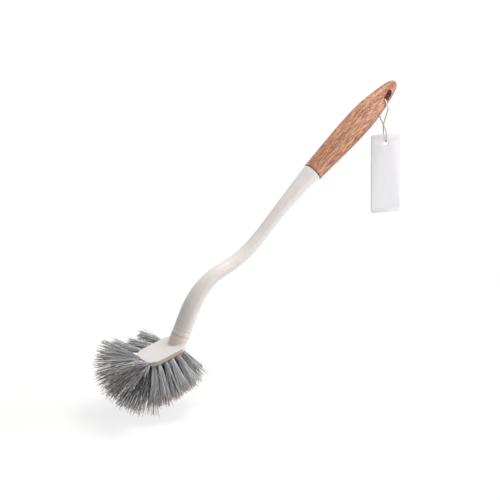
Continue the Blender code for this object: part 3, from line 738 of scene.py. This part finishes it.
@dataclass(frozen=True)
class ShareTable:
    """Smooth curve of a value along a length, through listed (share, value) rows."""

    rows: tuple[Pair, ...]

    def slope(self, i: int) -> float:
        """Slope at a row, from its neighbours."""
        low, high = max(i - 1, 0), min(i + 1, len(self.rows) - 1)
        return (self.rows[high][1] - self.rows[low][1]) / (self.rows[high][0] - self.rows[low][0])

    def at(self, share: float) -> float:
        """Value at a share of the length."""
        i = 0
        while i < len(self.rows) - 2 and share > self.rows[i + 1][0]:
            i += 1
        (left, low), (right, high) = self.rows[i], self.rows[i + 1]
        width = right - left
        t = min(max((share - left) / width, 0.0), 1.0)
        rise = (t ** 3 - 2 * t ** 2 + t) * self.slope(i) + (t ** 3 - t ** 2) * self.slope(i + 1)
        return low + (high - low) * (3 * t ** 2 - 2 * t ** 3) + rise * width

    def straight(self, share: float) -> float:
        """Value at a share of the length, with straight runs between rows."""
        return float(np.interp(share, *zip(*self.rows)))


@dataclass
class PhotoCamera:
    """Camera at the photograph's viewing angle."""

    target: Triple = (-0.16114, 0.0, -0.12817)
    azimuth: float = -32.5
    elevation: float = 18.0
    roll: float = -1.7
    distance: float = 1.15
    lens: float = 87.354
    sensor: float = 36.0
    clip_start: float = 0.05

    def build(self) -> None:
        """Makes the camera and sets it as the scene's own."""
        turn, lift, tilt = (math.radians(angle) for angle in (self.azimuth, self.elevation, self.roll))
        right = Vector((math.cos(turn), math.sin(turn), 0.0))
        ahead = Vector((-math.sin(turn) * math.cos(lift), math.cos(turn) * math.cos(lift), -math.sin(lift)))
        up = right.cross(ahead)
        across = right * math.cos(tilt) + up * math.sin(tilt)
        upright = up * math.cos(tilt) - right * math.sin(tilt)
        data = bpy.data.cameras.new("photo_camera")
        data.lens, data.sensor_width, data.clip_start = self.lens, self.sensor, self.clip_start
        camera = add_object("photo_camera", data)
        place = Matrix.Translation(Vector(self.target) - ahead * self.distance)
        camera.matrix_world = place @ Matrix((across, upright, -ahead)).transposed().to_4x4()
        bpy.context.scene.camera = camera


@dataclass(frozen=True)
class Softbox:
    """One square soft lamp, placed by its direction and distance from what it lights."""

    name: str
    direction: Triple
    distance: float
    size: float
    power: float
    aim: Triple = (0.0, 0.0, 0.0)
    tint: Triple = (1.0, 0.985, 0.97)

    def build(self, middle: Vector) -> None:
        """Adds the lamp, aimed at a place measured from the object's middle."""
        data = bpy.data.lights.new(self.name, "AREA")
        data.shape, data.size, data.energy, data.color = "SQUARE", self.size, self.power, self.tint
        away = Vector(self.direction).normalized()
        turn = (-away).to_track_quat("-Z", "Y").to_matrix().to_4x4()
        place = middle + Vector(self.aim) + away * self.distance
        add_object(self.name, data).matrix_world = Matrix.Translation(place) @ turn


@dataclass
class Studio:
    """Pale floor, white surroundings and soft lamps."""

    floor_half: float = 7.0
    floor_drop: float = 0.002
    floor_bounce: float = 0.44
    floor_white: float = 0.90
    glow: float = 1.02
    shadow: Span = (0.20, 0.42, 0.22, 0.0)
    surround_strength: float = 0.30
    surround_tint: Triple = (1.0, 0.965, 0.925)
    lamps: tuple[Softbox, ...] = (
        Softbox("top_softbox", (0.38, -0.03, 0.92), 1.25, 0.55, 17.2),
        Softbox("right_softbox", (0.93, -0.36, 0.05), 1.20, 0.42, 9.0),
        Softbox("front_fill", (-0.51, -0.80, 0.31), 1.40, 0.8, 1.2),
        Softbox("card_softbox", (0.25, -0.95, 0.12), 0.38, 0.30, 0.64, aim=(0.155, 0.0, 0.045)),
    )

    def seen(self, writer: NodeWriter) -> Wire:
        """One where a ray comes from the camera, a mirror or clear glass, else zero."""
        path = writer.node("ShaderNodeLightPath").outputs
        kinds = ("Is Camera Ray", "Is Glossy Ray", "Is Transmission Ray")
        camera, glossy, clear = (Wire(writer, path[kind]) for kind in kinds)
        return writer.math("MAXIMUM", writer.math("MAXIMUM", camera, glossy), clear)

    def floor_material(self, under: Triple) -> Material:
        """White to the eye, apart from the object's soft shadow about a place on the floor."""
        material = bpy.data.materials.new("white_floor")
        material.use_nodes = True
        material.cycles.emission_sampling = "NONE"
        material.node_tree.nodes.clear()
        writer = NodeWriter(material.node_tree)
        seen = self.seen(writer)
        pale = seen.spread(0.0, 1.0, self.floor_bounce, self.floor_white)
        matt = writer.out("ShaderNodeBsdfDiffuse", {"Color": pale})
        glow = writer.out("ShaderNodeEmission", {"Color": WHITE, "Strength": self.glow})
        away = writer.math("DISTANCE", writer.out("ShaderNodeTexCoord", name="Object"), under)
        shadow = away.spread(*self.shadow, interpolation_type="SMOOTHSTEP")
        mixed = writer.out("ShaderNodeMixShader", {0: seen * (1.0 - shadow), 1: matt, 2: glow})
        writer.node("ShaderNodeOutputMaterial", {"Surface": mixed})
        return material

    def surround(self) -> None:
        """Makes the surroundings, white to the eye and softer as a light."""
        world = bpy.data.worlds.new("studio_world")
        bpy.context.scene.world = world
        world.use_nodes = True
        world.node_tree.nodes.clear()
        writer = NodeWriter(world.node_tree)
        tinted = {"Color": self.surround_tint, "Strength": self.surround_strength}
        soft = writer.out("ShaderNodeBackground", tinted)
        white = writer.out("ShaderNodeBackground", {"Color": WHITE, "Strength": 1.0})
        mixed = writer.out("ShaderNodeMixShader", {0: self.seen(writer), 1: soft, 2: white})
        writer.node("ShaderNodeOutputWorld", {"Surface": mixed})

    def build(self, low: Vector, high: Vector) -> None:
        """Makes the floor, the surroundings and the lamps.

        Args:
            low: Lowest corner of the object's box.
            high: Highest corner of the object's box.
        """
        middle = (low + high) / 2
        height, half = low.z - self.floor_drop, self.floor_half
        corners = [(x * half, y * half, height) for x, y in ((-1, -1), (1, -1), (1, 1), (-1, 1))]
        mesh = bpy.data.meshes.new("studio_floor")
        mesh.from_pydata(corners, [], [(0, 1, 2, 3)])
        mesh.materials.append(self.floor_material((middle.x, middle.y, height)))
        add_object("studio_floor", mesh)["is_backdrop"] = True
        self.surround()
        for lamp in self.lamps:
            lamp.build(middle)
        bpy.context.scene.view_settings.view_transform = "Standard"


@dataclass(frozen=True)
class TuftRow:
    """How the tufts of one row look: their filaments, splay and length as shares of the reach,
    tone, which lightens or darkens the whole row as painted light or shade, the swelling beyond the root and
    the droop."""

    filaments: int
    flare: float
    reach: float
    tone: float = 0.0
    belly: float = 0.0
    droop: float = 0.0


@dataclass(frozen=True)
class TuftRoot:
    """One tuft as the CAD holds it, with what its row adds."""

    place: Vector
    heading: Vector
    reach: float
    row: TuftRow


@dataclass
class BristleFan:
    """Splayed tufts of nylon filaments, set in the head block's holes. The angle stray is in radians."""

    filament_radius: float = 0.00024
    root_radius: float = 0.00152
    plug_depth: float = 0.0020
    straying: float = 0.085
    shaking: float = 0.042
    uneven: float = 0.13
    bend: float = 0.060
    segments: int = 6
    sides: int = 3
    seed: int = 7
    stray_power: float = 9.0
    uneven_power: float = 2.2
    swell_power: float = 5.0
    sag: float = -0.35
    taper: float = 0.3
    angle_stray: float = 0.4
    flare_span: Pair = (0.8, 1.2)
    tone_span: Pair = (-0.1, 1.0)
    back_slice: float = 0.0004
    plug_least: float = 0.0005
    # Each row's tone is painted light or shade: lighter for the near, side and nose_tuft_5 rows, darker for
    # the inner and middle rows.
    rows: tuple[tuple[str, TuftRow], ...] = (
        ("near", TuftRow(70, 0.100, 0.94, 0.28, 0.0004)),
        ("far", TuftRow(58, 0.120, 0.90, 0.12, 0.0003)),
        ("front", TuftRow(92, 0.330, 0.97, -0.04)),
        ("inner", TuftRow(78, 0.270, 0.91, -0.22)),
        ("middle", TuftRow(72, 0.270, 0.93, -0.22)),
        ("nose_tuft_1", TuftRow(112, 0.220, 0.98, 0.05, 0.0003)),
        ("nose_tuft_5", TuftRow(112, 0.220, 0.98, 0.42, 0.0003)),
        ("nose_tuft_4", TuftRow(124, 0.325, 0.98, 0.10, 0.0004)),
        ("nose", TuftRow(124, 0.325, 0.98, 0.00, 0.0004)),
        ("side_tuft_3", TuftRow(84, 0.100, 0.95, 0.60, 0.0006, 0.17)),
        ("side", TuftRow(100, 0.035, 1.00, 0.56, 0.0019, 0.03)),
    )

    def read_root(self, node: Object, inside: Vector) -> TuftRoot:
        """Finds a tuft's place, heading and reach from its CAD node.

        Args:
            node: The tuft's CAD node, a round plug with strands.
            inside: A place in the head block, which the tuft points away from.

        Returns:
            The tuft's root at the block's surface.
        """
        points = np.unique(np.round([vertex.co for vertex in node.data.vertices], 7), axis=0)
        middle = points.mean(axis=0)
        rough = np.linalg.svd(points - middle, full_matrices=False)[2][0]
        rough *= np.sign(np.dot(rough, middle - np.array(inside)))
        run = points @ rough
        ring = points[run < run.min() + self.back_slice]
        back = ring.mean(axis=0)
        heading = np.linalg.svd(ring - back, full_matrices=False)[2][2]
        heading *= np.sign(np.dot(heading, rough))
        run = (points - back) @ heading
        plug = run[run > self.plug_least].min()
        row = next(row for start, row in self.rows if node.name.startswith(start))
        lowered = (Vector(heading) - Vector((0.0, 0.0, row.droop))).normalized()
        return TuftRoot(Vector(back + heading * plug), lowered, float(run.max() - plug) * row.reach, row)

    def seed_points(self, roots: Sequence[TuftRoot]) -> Object:
        """Makes a mesh of one point for each tuft, with what it is like stored on it."""
        mesh = bpy.data.meshes.new("tuft_roots")
        mesh.from_pydata([root.place for root in roots], [], [])
        heading = mesh.attributes.new("heading", "FLOAT_VECTOR", "POINT")
        heading.data.foreach_set("vector", [part for root in roots for part in root.heading])
        names = ("flare", "filaments", "tone", "belly")
        numbers = {name: [getattr(root.row, name) for root in roots] for name in names}
        numbers["reach"] = [root.reach for root in roots]
        for name, values in numbers.items():
            mesh.attributes.new(name, "FLOAT", "POINT").data.foreach_set("value", values)
        return add_object("tuft_roots", mesh)

    def tree(self, material: Material) -> GrowthTree:
        """Writes the tree that grows the filaments out of the roots."""
        tree = GrowthTree(
            "bristle_growth", root_radius=self.root_radius, plug_depth=self.plug_depth, bend=self.bend,
            straying=self.straying, shaking=self.shaking, uneven=self.uneven, seed=self.seed,
            filament_radius=self.filament_radius, material=material,
        )
        all_ways = ((-1, -1, -1), (1, 1, 1))
        depth, bend = tree.entry["plug_depth"], tree.entry["bend"]
        amount = tree.attribute("filaments")
        inputs = {"Geometry": tree.entry["Geometry"], "Amount": amount}
        copies = tree.node("GeometryNodeDuplicateElements", inputs, domain="POINT").outputs
        points, index = (Wire(tree, copies[name]) for name in ("Geometry", "Duplicate Index"))
        angle = index * math.radians(GOLDEN_ANGLE) + tree.random(1, -self.angle_stray, self.angle_stray)
        inputs = {"X": tree.math("COSINE", angle), "Y": tree.math("SINE", angle)}
        flat = tree.out("ShaderNodeCombineXYZ", inputs) * tree.math("SQRT", (index + 0.5) / amount)
        heading = tree.attribute("heading", "FLOAT_VECTOR")
        stand = tree.out("FunctionNodeAlignRotationToVector", {"Vector": heading}, axis="Z")
        side = tree.out("FunctionNodeRotateVector", {"Vector": flat, "Rotation": stand})
        stray = tree.random(2, 0.0, 1.0) ** self.stray_power * tree.entry["straying"]
        splay = tree.attribute("flare") * tree.random(3, *self.flare_span) + stray
        shake = tree.random(4, *all_ways) * tree.entry["shaking"]
        shorter = tree.random(5, 0.0, 1.0) ** self.uneven_power * tree.entry["uneven"]
        length = tree.attribute("reach") * (1.0 - shorter) + depth
        curl = tree.random(6, *all_ways) * bend
        droop = tree.out("ShaderNodeCombineXYZ", {"Z": bend * self.sag})
        kept = {
            "grow": tree.math("NORMALIZE", heading + side * splay + shake),
            "curl": (curl + droop) * length,
            # The row's painted light or shade, plus a random tone for each filament.
            "tone": tree.attribute("tone") + tree.random(7, *self.tone_span),
            "swell": side * tree.attribute("belly"),
            "span": length,
        }
        for name, value in kept.items():
            points = tree.store(points, name, value)
        grow = tree.attribute("grow", "FLOAT_VECTOR")
        points = tree.moved(points, Offset=side * tree.entry["root_radius"] - grow * depth)
        line = tree.out("GeometryNodeCurvePrimitiveLine", {"Start": (0, 0, 0), "End": (0, 0, 1)})
        strand = tree.out("GeometryNodeResampleCurve", {"Curve": line, "Count": self.segments})
        facing = tree.out("FunctionNodeAlignRotationToVector", {"Vector": grow}, axis="Z")
        inputs = {"Points": points, "Instance": strand, "Rotation": facing, "Scale": tree.attribute("span")}
        strands = tree.out("GeometryNodeInstanceOnPoints", inputs)
        strands = tree.out("GeometryNodeRealizeInstances", {"Geometry": strands})
        factor = tree.out("GeometryNodeSplineParameter", name="Factor")
        strands = tree.store(strands, "along", factor)
        curled = tree.attribute("curl", "FLOAT_VECTOR") * factor ** 2.0
        swollen = tree.attribute("swell", "FLOAT_VECTOR") * (1.0 - (1.0 - factor) ** self.swell_power)
        strands = tree.moved(strands, Offset=curled + swollen)
        profile = tree.ring(self.sides, tree.entry["filament_radius"])
        tree.finish(strands, profile, Scale=1.0 - factor * self.taper)
        return tree

    def build(self, frame: dict[str, Any], material: Material) -> None:
        """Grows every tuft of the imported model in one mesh."""
        names = sorted(name for name in frame["nodes"] if "_tuft_" in name)
        low, high = (Vector(corner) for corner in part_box("head_block"))
        roots = [self.read_root(frame["nodes"][name], (low + high) / 2) for name in names]
        fan = self.tree(material).grow("bristle_fan", self.seed_points(roots))
        attach(fan, Body.BRUSH, names)


@dataclass
class TwistedString:
    """Three-ply string: the loop through the slot and the card, and the knot that closes it.

    The knot's gap is what its curve leaves out at each end, in radians of the curve's turn.
    """

    diameter: float = 0.0015
    twist_pitch: float = 0.0035
    ply_depth: float = 0.26
    ring_pitch: float = 0.00034
    sides: int = 18
    plies: int = 3
    curve_steps: int = 16
    knot_share: float = 0.66
    knot_width: float = 0.24
    knot_depth: float = 1.5
    knot_gap: float = 0.35
    knot_steps: int = 40
    tail: float = 0.0050
    tail_steps: int = 6
    tail_ways: tuple[Triple, Triple] = ((0.35, 0.85, -0.60), (-0.45, 0.80, -0.75))
    route: tuple[Triple, ...] = (
        (0.00085, 0.00005, -0.0402), (0.00045, 0.00007, -0.0388), (-0.0002, -0.0002, -0.0355),
        (-0.0007, -0.0010, -0.0305), (-0.0006, -0.0024, -0.0255), (0.0000, -0.0042, -0.0200),
        (0.0003, -0.0060, -0.0155), (-0.0004, -0.0076, -0.0119), (-0.0022, -0.0088, -0.0091),
        (-0.0037, -0.0091, -0.0070), (-0.0041, -0.0087, -0.0052), (-0.0037, -0.0074, -0.0040),
        (-0.0030, -0.0056, -0.0036), (-0.0022, -0.0028, -0.0038), (-0.0017, 0.0000, -0.0040),
        (-0.0015, 0.0028, -0.0040), (-0.0014, 0.0055, -0.0039), (-0.0013, 0.0077, -0.0047),
        (-0.0013, 0.0089, -0.0066), (-0.0014, 0.0091, -0.0090), (-0.0017, 0.0082, -0.0124),
        (-0.0021, 0.0056, -0.0170), (-0.0022, 0.0026, -0.0227), (-0.0015, -0.0006, -0.0280),
        (-0.0003, -0.0032, -0.0334), (0.0004, -0.0050, -0.0385), (0.0003, -0.0055, -0.0418),
        (0.0002, -0.0054, -0.0440), (0.0005, -0.0045, -0.0460), (0.0010, -0.0027, -0.0468),
        (0.0015, -0.0009, -0.0462), (0.0020, 0.0000, -0.0445), (0.00175, 0.0000, -0.0434),
    )

    def path(self) -> list[Vector]:
        """Finely spaced points on a smooth curve through the route."""
        places = [Vector(point) for point in self.route]
        padded = [places[0] * 2 - places[1]] + places + [places[-1] * 2 - places[-2]]
        fine = [places[0]]
        for p0, p1, p2, p3 in zip(padded, padded[1:], padded[2:], padded[3:]):
            for i in range(1, self.curve_steps + 1):
                t = i / self.curve_steps
                bend = 2 * p0 - 5 * p1 + 4 * p2 - p3
                twist = 3 * p1 - p0 - 3 * p2 + p3
                fine.append((2 * p1 + (p2 - p0) * t + bend * t ** 2 + twist * t ** 3) / 2)
        return fine

    def lay(self, name: str, points: Sequence[Vector], share: float, material: Material) -> Object:
        """Lays twisted plies along points, at a share of the full diameter.

        Args:
            name: The new piece's name.
            points: Places along the string.
            share: Share of the full diameter and pitch.
            material: The cotton's material.

        Returns:
            The piece.
        """
        tree = GrowthTree(
            "string_lay", radius=self.diameter / 2 * share, twist_pitch=self.twist_pitch * share,
            ply_depth=self.ply_depth, ring_pitch=self.ring_pitch, material=material,
        )
        inputs = {"Curve": tree.entry["Geometry"], "Length": tree.entry["ring_pitch"]}
        line = tree.out("GeometryNodeResampleCurve", inputs, mode="LENGTH")
        run = tree.out("GeometryNodeSplineParameter", name="Length")
        tilt = run / tree.entry["twist_pitch"] * (2 * math.pi)
        line = tree.out("GeometryNodeSetCurveTilt", {"Curve": line, "Tilt": tilt})
        place = tree.out("GeometryNodeInputPosition")
        across, up, _ = tree.parts(place)
        angle = tree.math("ARCTAN2", up, across)
        wave = abs(tree.math("COSINE", angle * (self.plies / 2)))
        ring = tree.store(tree.ring(self.sides, tree.entry["radius"]), "ridge", wave)
        ring = tree.moved(ring, Position=place * (1.0 - tree.entry["ply_depth"] * (1.0 - wave)))
        tree.finish(line, ring)
        return tree.grow(name, curve_object(name, points))

    def knot_line(self) -> list[Vector]:
        """Line of a small overhand knot between the loop's ends, with two short tails."""
        middle = (Vector(self.route[0]) + Vector(self.route[-1])) / 2
        width = self.diameter * self.knot_width
        turns = []
        for i in range(self.knot_steps + 1):
            t = self.knot_gap + 2 * (math.pi - self.knot_gap) * i / self.knot_steps
            across = (math.sin(t) + 2 * math.sin(2 * t)) * width
            along = (math.cos(t) - 2 * math.cos(2 * t)) * width
            deep = -math.sin(3 * t) * width * self.knot_depth
            turns.append(middle + Vector((across, deep, along)))
        ends = (turns[0], turns[-1])
        first, last = (end + Vector(way) * self.tail for end, way in zip(ends, self.tail_ways))
        lead_in = [first.lerp(ends[0], i / self.tail_steps) for i in range(self.tail_steps)]
        lead_out = [ends[1].lerp(last, (i + 1) / self.tail_steps) for i in range(self.tail_steps)]
        return lead_in + turns + lead_out

    def build(self, material: Material) -> None:
        path = self.path()
        loop = self.lay("string_twist", path, 1.0, material)
        attach(loop, Body.STRING_LOOP, ["card_string"])
        knot = self.lay("overhand_knot", self.knot_line(), self.knot_share, material)
        attach(knot, Body.STRING_LOOP, ["string_knot"])
        length = sum((b - a).length for a, b in zip(path, path[1:]))


@dataclass
class HangingCard:
    """Blank board on the string, with round corners, softened edges and a slight bow."""

    length: float = 0.0800
    width: float = 0.0316
    thickness: float = 0.0011
    corner: float = 0.0020
    edge: float = 0.00014
    edge_steps: int = 2
    turn: float = -16.0
    hole_diameter: float = 0.0052
    hole_below_top: float = 0.0089
    hole_centre: Triple = (0.0010, -0.0027, -0.0482)
    bow: float = 0.0003
    rows: int = 16
    corner_steps: int = 8
    hole_sides: int = 40
    weld: float = 0.00001
    sharp_angle: float = 40.0

    def outline(self) -> list[Vector]:
        """Outline of the card about the hole's middle, with X across and Y up."""
        half, top = self.width / 2 - self.corner, self.hole_below_top - self.corner
        bottom = top + 2 * self.corner - self.length
        corners = ((half, top), (-half, top), (-half, bottom), (half, bottom))
        points = []
        for quarter, (across, up) in enumerate(corners):
            for i in range(self.corner_steps + 1):
                angle = math.radians(90 * quarter + 90 * i / self.corner_steps)
                rounded = Vector((math.cos(angle), math.sin(angle), 0.0)) * self.corner
                points.append(Vector((across, up, 0.0)) + rounded)
        return points

    def build(self, material: Material) -> None:
        """Makes the card in place of its CAD node."""
        radius = self.hole_diameter / 2
        hole = oval(Vector(), Vector((radius, 0.0, 0.0)), Vector((0.0, radius, 0.0)), self.hole_sides)
        holder = curve_object("card_sheet", self.outline(), hole, closed=True)
        holder.data.fill_mode = "BOTH"
        holder.data.extrude = self.thickness / 2 - self.edge
        holder.data.bevel_depth = self.edge
        holder.data.bevel_resolution = self.edge_steps
        holder.data.offset = -self.edge
        mesh = baked_mesh(holder)
        shape = bmesh.new()
        shape.from_mesh(mesh)
        bmesh.ops.remove_doubles(shape, verts=shape.verts, dist=self.weld)
        top = self.hole_below_top
        for i in range(1, self.rows):
            cut = Vector((0.0, top - self.length * i / self.rows, 0.0))
            geometry = shape.verts[:] + shape.edges[:] + shape.faces[:]
            bmesh.ops.bisect_plane(shape, geom=geometry, plane_co=cut, plane_no=SIDEWAYS, dist=self.weld / 10)
        for vertex in shape.verts:
            share = (top - vertex.co.y) / self.length
            vertex.co.z += self.bow * (2 * share - 1) ** 2 - self.bow / 2
        stand = Matrix.Rotation(math.radians(self.turn), 4, "Z") @ Matrix.Rotation(math.pi / 2, 4, "X")
        shape.transform(Matrix.Translation(Vector(self.hole_centre)) @ stand)
        card = add_object("card_sheet", fill(mesh, shape))
        shade(card, self.sharp_angle)
        dress(card, material)
        attach(card, Body.TAG, ["blank_card"])


@dataclass
class GripMoulding:
    """Leaf-shaped grip with a softened face edge, the stem's socket and a slot with a rounded rim."""

    length: float = 0.1268
    height: float = 0.0266
    thickness: float = 0.0216
    pitch: float = 36.4
    axis_above_slot: float = 0.0001
    slot_to_tip: float = 0.0182
    slot_length: float = 0.0128
    slot_width: float = 0.0062
    slot_turn: float = 13.5
    slot_round: float = 0.0009
    slot_overrun: float = 0.0040
    slot_sides: int = 48
    rim_steps: int = 6
    socket_diameter: float = 0.0126
    socket_depth: float = 0.0303
    edge: float = 0.00060
    edge_middle: float = 0.3
    stations: int = 84
    crowding: float = 1.5
    sides: int = 72
    sharp_angle: float = 38.0
    height_shares: ShareTable = ShareTable((
        (0.000, 0.748), (0.090, 0.800), (0.175, 0.856), (0.260, 0.908), (0.345, 0.954), (0.430, 0.987),
        (0.510, 1.000), (0.590, 0.998), (0.650, 0.966), (0.710, 0.902), (0.765, 0.832), (0.820, 0.744),
        (0.870, 0.648), (0.910, 0.562), (0.940, 0.488), (0.962, 0.412), (0.980, 0.322), (0.992, 0.220),
        (1.000, 0.080),
    ))
    thickness_shares: ShareTable = ShareTable((
        (0.000, 0.907), (0.175, 0.940), (0.345, 0.980), (0.510, 1.000), (0.650, 0.950), (0.765, 0.830),
        (0.870, 0.640), (0.940, 0.470), (0.980, 0.320), (0.992, 0.220), (1.000, 0.080),
    ))

    def axis(self) -> Vector:
        """Direction from the face to the tip."""
        return heading_vector(self.pitch)

    def across(self) -> Vector:
        """Direction square to the axis, upwards in the plane Y = 0."""
        return heading_vector(self.pitch + 90.0)

    def face(self) -> Vector:
        """Middle of the flat lower face, measured from the slot at the origin."""
        return self.across() * self.axis_above_slot - self.axis() * (self.length - self.slot_to_tip)

    def section(self, along: float, inset: float = 0.0) -> list[Vector]:
        """Oval ring at a distance from the face, drawn in by an inset."""
        share = along / self.length
        high = self.height / 2 * self.height_shares.at(share) - inset
        thick = self.thickness / 2 * self.thickness_shares.at(share) - inset
        centre = self.face() + self.axis() * along
        return oval(centre, self.across() * high, SIDEWAYS * thick, self.sides)

    def body(self) -> Mesh:
        """Loft of the grip, its stations closer together towards the tip."""
        middle = self.edge * self.edge_middle
        rings = [self.section(0.0, self.edge), self.section(middle, middle)]
        first = self.edge / self.length
        for i in range(self.stations + 1):
            share = 1.0 - (1.0 - i / self.stations) ** self.crowding
            rings.append(self.section(self.length * (first + (1.0 - first) * share)))
        return loft_mesh("grip_body", rings)

    def slot(self) -> Mesh:
        """Slot through the grip, with a rounded rim at both faces."""
        half = self.thickness / 2 * self.thickness_shares.at(1.0 - self.slot_to_tip / self.length)
        long_way = heading_vector(self.pitch + self.slot_turn)
        short_way = heading_vector(self.pitch + self.slot_turn + 90.0)
        steps = []
        for i in range(self.rim_steps + 1):
            angle = math.radians(90.0 * i / self.rim_steps)
            out = half - self.slot_round * (1.0 - math.sin(angle))
            steps.append((out, self.slot_round * (1.0 - math.cos(angle))))
        steps.append((half + self.slot_overrun, self.slot_round))
        profile = [(-out, grow) for out, grow in reversed(steps)] + steps
        reach = (self.slot_length - self.slot_width) / 2
        rings = []
        for lateral, grow in profile:
            radius = self.slot_width / 2 + grow
            ring = []
            for i in range(self.slot_sides):
                angle = 2 * math.pi * (i + 0.5) / self.slot_sides
                along = math.copysign(reach, math.cos(angle)) + radius * math.cos(angle)
                ring.append(long_way * along + short_way * radius * math.sin(angle) + SIDEWAYS * lateral)
            rings.append(ring)
        return loft_mesh("hanging_slot", rings)

    def socket(self) -> Mesh:
        """Bore for the stem's tang."""
        high, wide = (way * (self.socket_diameter / 2) for way in (self.across(), SIDEWAYS))
        centres = (self.face() + self.axis() * along for along in (-self.slot_overrun, self.socket_depth))
        return loft_mesh("tang_socket", [oval(centre, high, wide, self.sides) for centre in centres])

    def build(self, material: Material) -> None:
        """Makes the grip in place of its CAD node."""
        grip = carve("grip_moulding", self.body(), [self.socket(), self.slot()])
        shade(grip, self.sharp_angle)
        dress(grip, material)
        attach(grip, Body.BRUSH, ["grip"])


@dataclass
class StemMoulding:
    """S-bent stem swept along its centreline, with its spigot, ring lines and tang."""

    grip: GripMoulding
    run: float = 0.2060
    seat_gap: float = 0.0003
    neck_diameter: float = 0.0174
    waist_diameter: float = 0.0126
    top_diameter: float = 0.0192
    spigot_diameter: float = 0.0110
    spigot_length: float = 0.0090
    tang_diameter: float = 0.0120
    tang_length: float = 0.0300
    chamfer: float = 0.0008
    edge: float = 0.00016
    edge_steps: int = 5
    step: float = 0.00005
    line_width: float = 0.0009
    line_depth: float = 0.00022
    line_steps: int = 10
    line_places: tuple[float, ...] = (0.0042, 0.0078)
    stations: int = 150
    walk_steps: int = 4
    sides: int = 56
    sharp_angle: float = 40.0
    headings: ShareTable = ShareTable((
        (0.00, 62.3), (0.10, 63.3), (0.16, 55.1), (0.22, 46.5), (0.28, 35.6), (0.34, 20.3), (0.39, 19.2),
        (0.46, 27.2), (0.54, 35.8), (0.62, 42.2), (0.70, 43.3), (0.80, 40.4), (0.90, 38.4), (1.00, 36.4),
    ))
    neck_shares: ShareTable = ShareTable((
        (0.00, 1.00), (0.15, 0.93), (0.21, 0.74), (0.27, 0.42), (0.33, 0.20), (0.42, 0.06), (0.60, 0.00),
        (1.00, 0.00),
    ))
    top_shares: ShareTable = ShareTable((
        (0.00, 0.00), (0.68, 0.00), (0.76, 0.06), (0.85, 0.30), (0.94, 0.66), (1.00, 1.00),
    ))

    def walk(self) -> list[Vector]:
        """Places along the centreline, measured from the seam at the head."""
        places = [Vector()]
        count = self.stations * self.walk_steps
        for i in range(count):
            step = heading_vector(self.headings.straight(i / count)) * self.run / count
            places.append(places[-1] + step)
        return places[::self.walk_steps]

    def radius(self, along: float) -> float:
        """Radius at a distance from the seam, with the ring lines and softened shoulders."""
        share = along / self.run
        waist = self.waist_diameter / 2
        neck = (self.neck_diameter / 2 - waist) * self.neck_shares.at(share)
        top = (self.top_diameter / 2 - waist) * self.top_shares.at(share)
        cut = 0.0
        for place in self.line_places:
            away = abs(along - place) / (self.line_width / 2)
            if away < 1.0:
                cut += self.line_depth * math.cos(away * math.pi / 2) ** 2
        end = min(along, self.run - along)
        if end < self.edge:
            cut += self.edge - math.sqrt(self.edge ** 2 - (self.edge - end) ** 2)
        return waist + neck + top - cut

    def stops(self) -> list[float]:
        """Distances from the seam at which the body has a section, closer at its edges and lines."""
        stops = {self.run * i / self.stations for i in range(self.stations + 1)}
        edge = [self.edge * i / self.edge_steps for i in range(self.edge_steps + 1)]
        stops |= {*edge} | {self.run - along for along in edge}
        shares = [i / self.line_steps - 0.5 for i in range(self.line_steps + 1)]
        stops |= {place + self.line_width * share for place in self.line_places for share in shares}
        return sorted(stops)

    def sections(self) -> list[tuple[Vector, float]]:
        """All places and radii: spigot, shoulder, bent body, shoulder and tang."""
        shoulder = self.grip.face() - self.grip.axis() * self.seat_gap
        walk = self.walk()
        seam = shoulder - walk[-1]
        down, up = -heading_vector(self.headings.rows[0][1]), self.grip.axis()
        spigot, tang = self.spigot_diameter / 2, self.tang_diameter / 2
        body = []
        for along in self.stops():
            exact = along / self.run * self.stations
            low = min(int(exact), self.stations - 1)
            body.append((seam + walk[low].lerp(walk[low + 1], exact - low), self.radius(along)))
        return [
            (seam + down * self.spigot_length, spigot - self.chamfer),
            (seam + down * (self.spigot_length - self.chamfer), spigot),
            (seam + down * self.step, spigot),
            *body,
            (shoulder + up * self.step, tang),
            (shoulder + up * (self.tang_length - self.chamfer), tang),
            (shoulder + up * self.tang_length, tang - self.chamfer),
        ]

    def build(self, material: Material) -> None:
        """Sweeps a circle along the sections by their radius, in place of the CAD node."""
        places, radii = zip(*self.sections())
        line = curve_object("stem_line", places)
        line.data.splines[0].points.foreach_set("radius", radii)
        tree = GrowthTree("stem_sweep", sides=self.sides, material=material)
        profile = tree.ring(tree.entry["sides"], 1.0)
        tree.finish(tree.entry["Geometry"], profile, Scale=tree.out("GeometryNodeInputRadius"))
        stem = tree.grow("stem_moulding", line)
        shade(stem, self.sharp_angle)
        attach(stem, Body.BRUSH, ["stem"])


def main() -> None:
    """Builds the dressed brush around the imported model."""
    logging.basicConfig(level=logging.INFO, format="%(name)s: %(message)s")
    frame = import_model()
    cad_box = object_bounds()
    PhotoCamera().build()
    TwistedString().build(CottonTwine().material())
    HangingCard().build(PaperBoard().material())
    BristleFan().build(frame, NylonBristle().material())
    dress(frame["nodes"]["head_block"], MouldedHead().material())
    grip = GripMoulding()
    grip.build(WoodLook().material())
    StemMoulding(grip).build(MouldedPlastic().material())
    Studio().build(*cad_box)


if __name__ == "__main__":
    main()
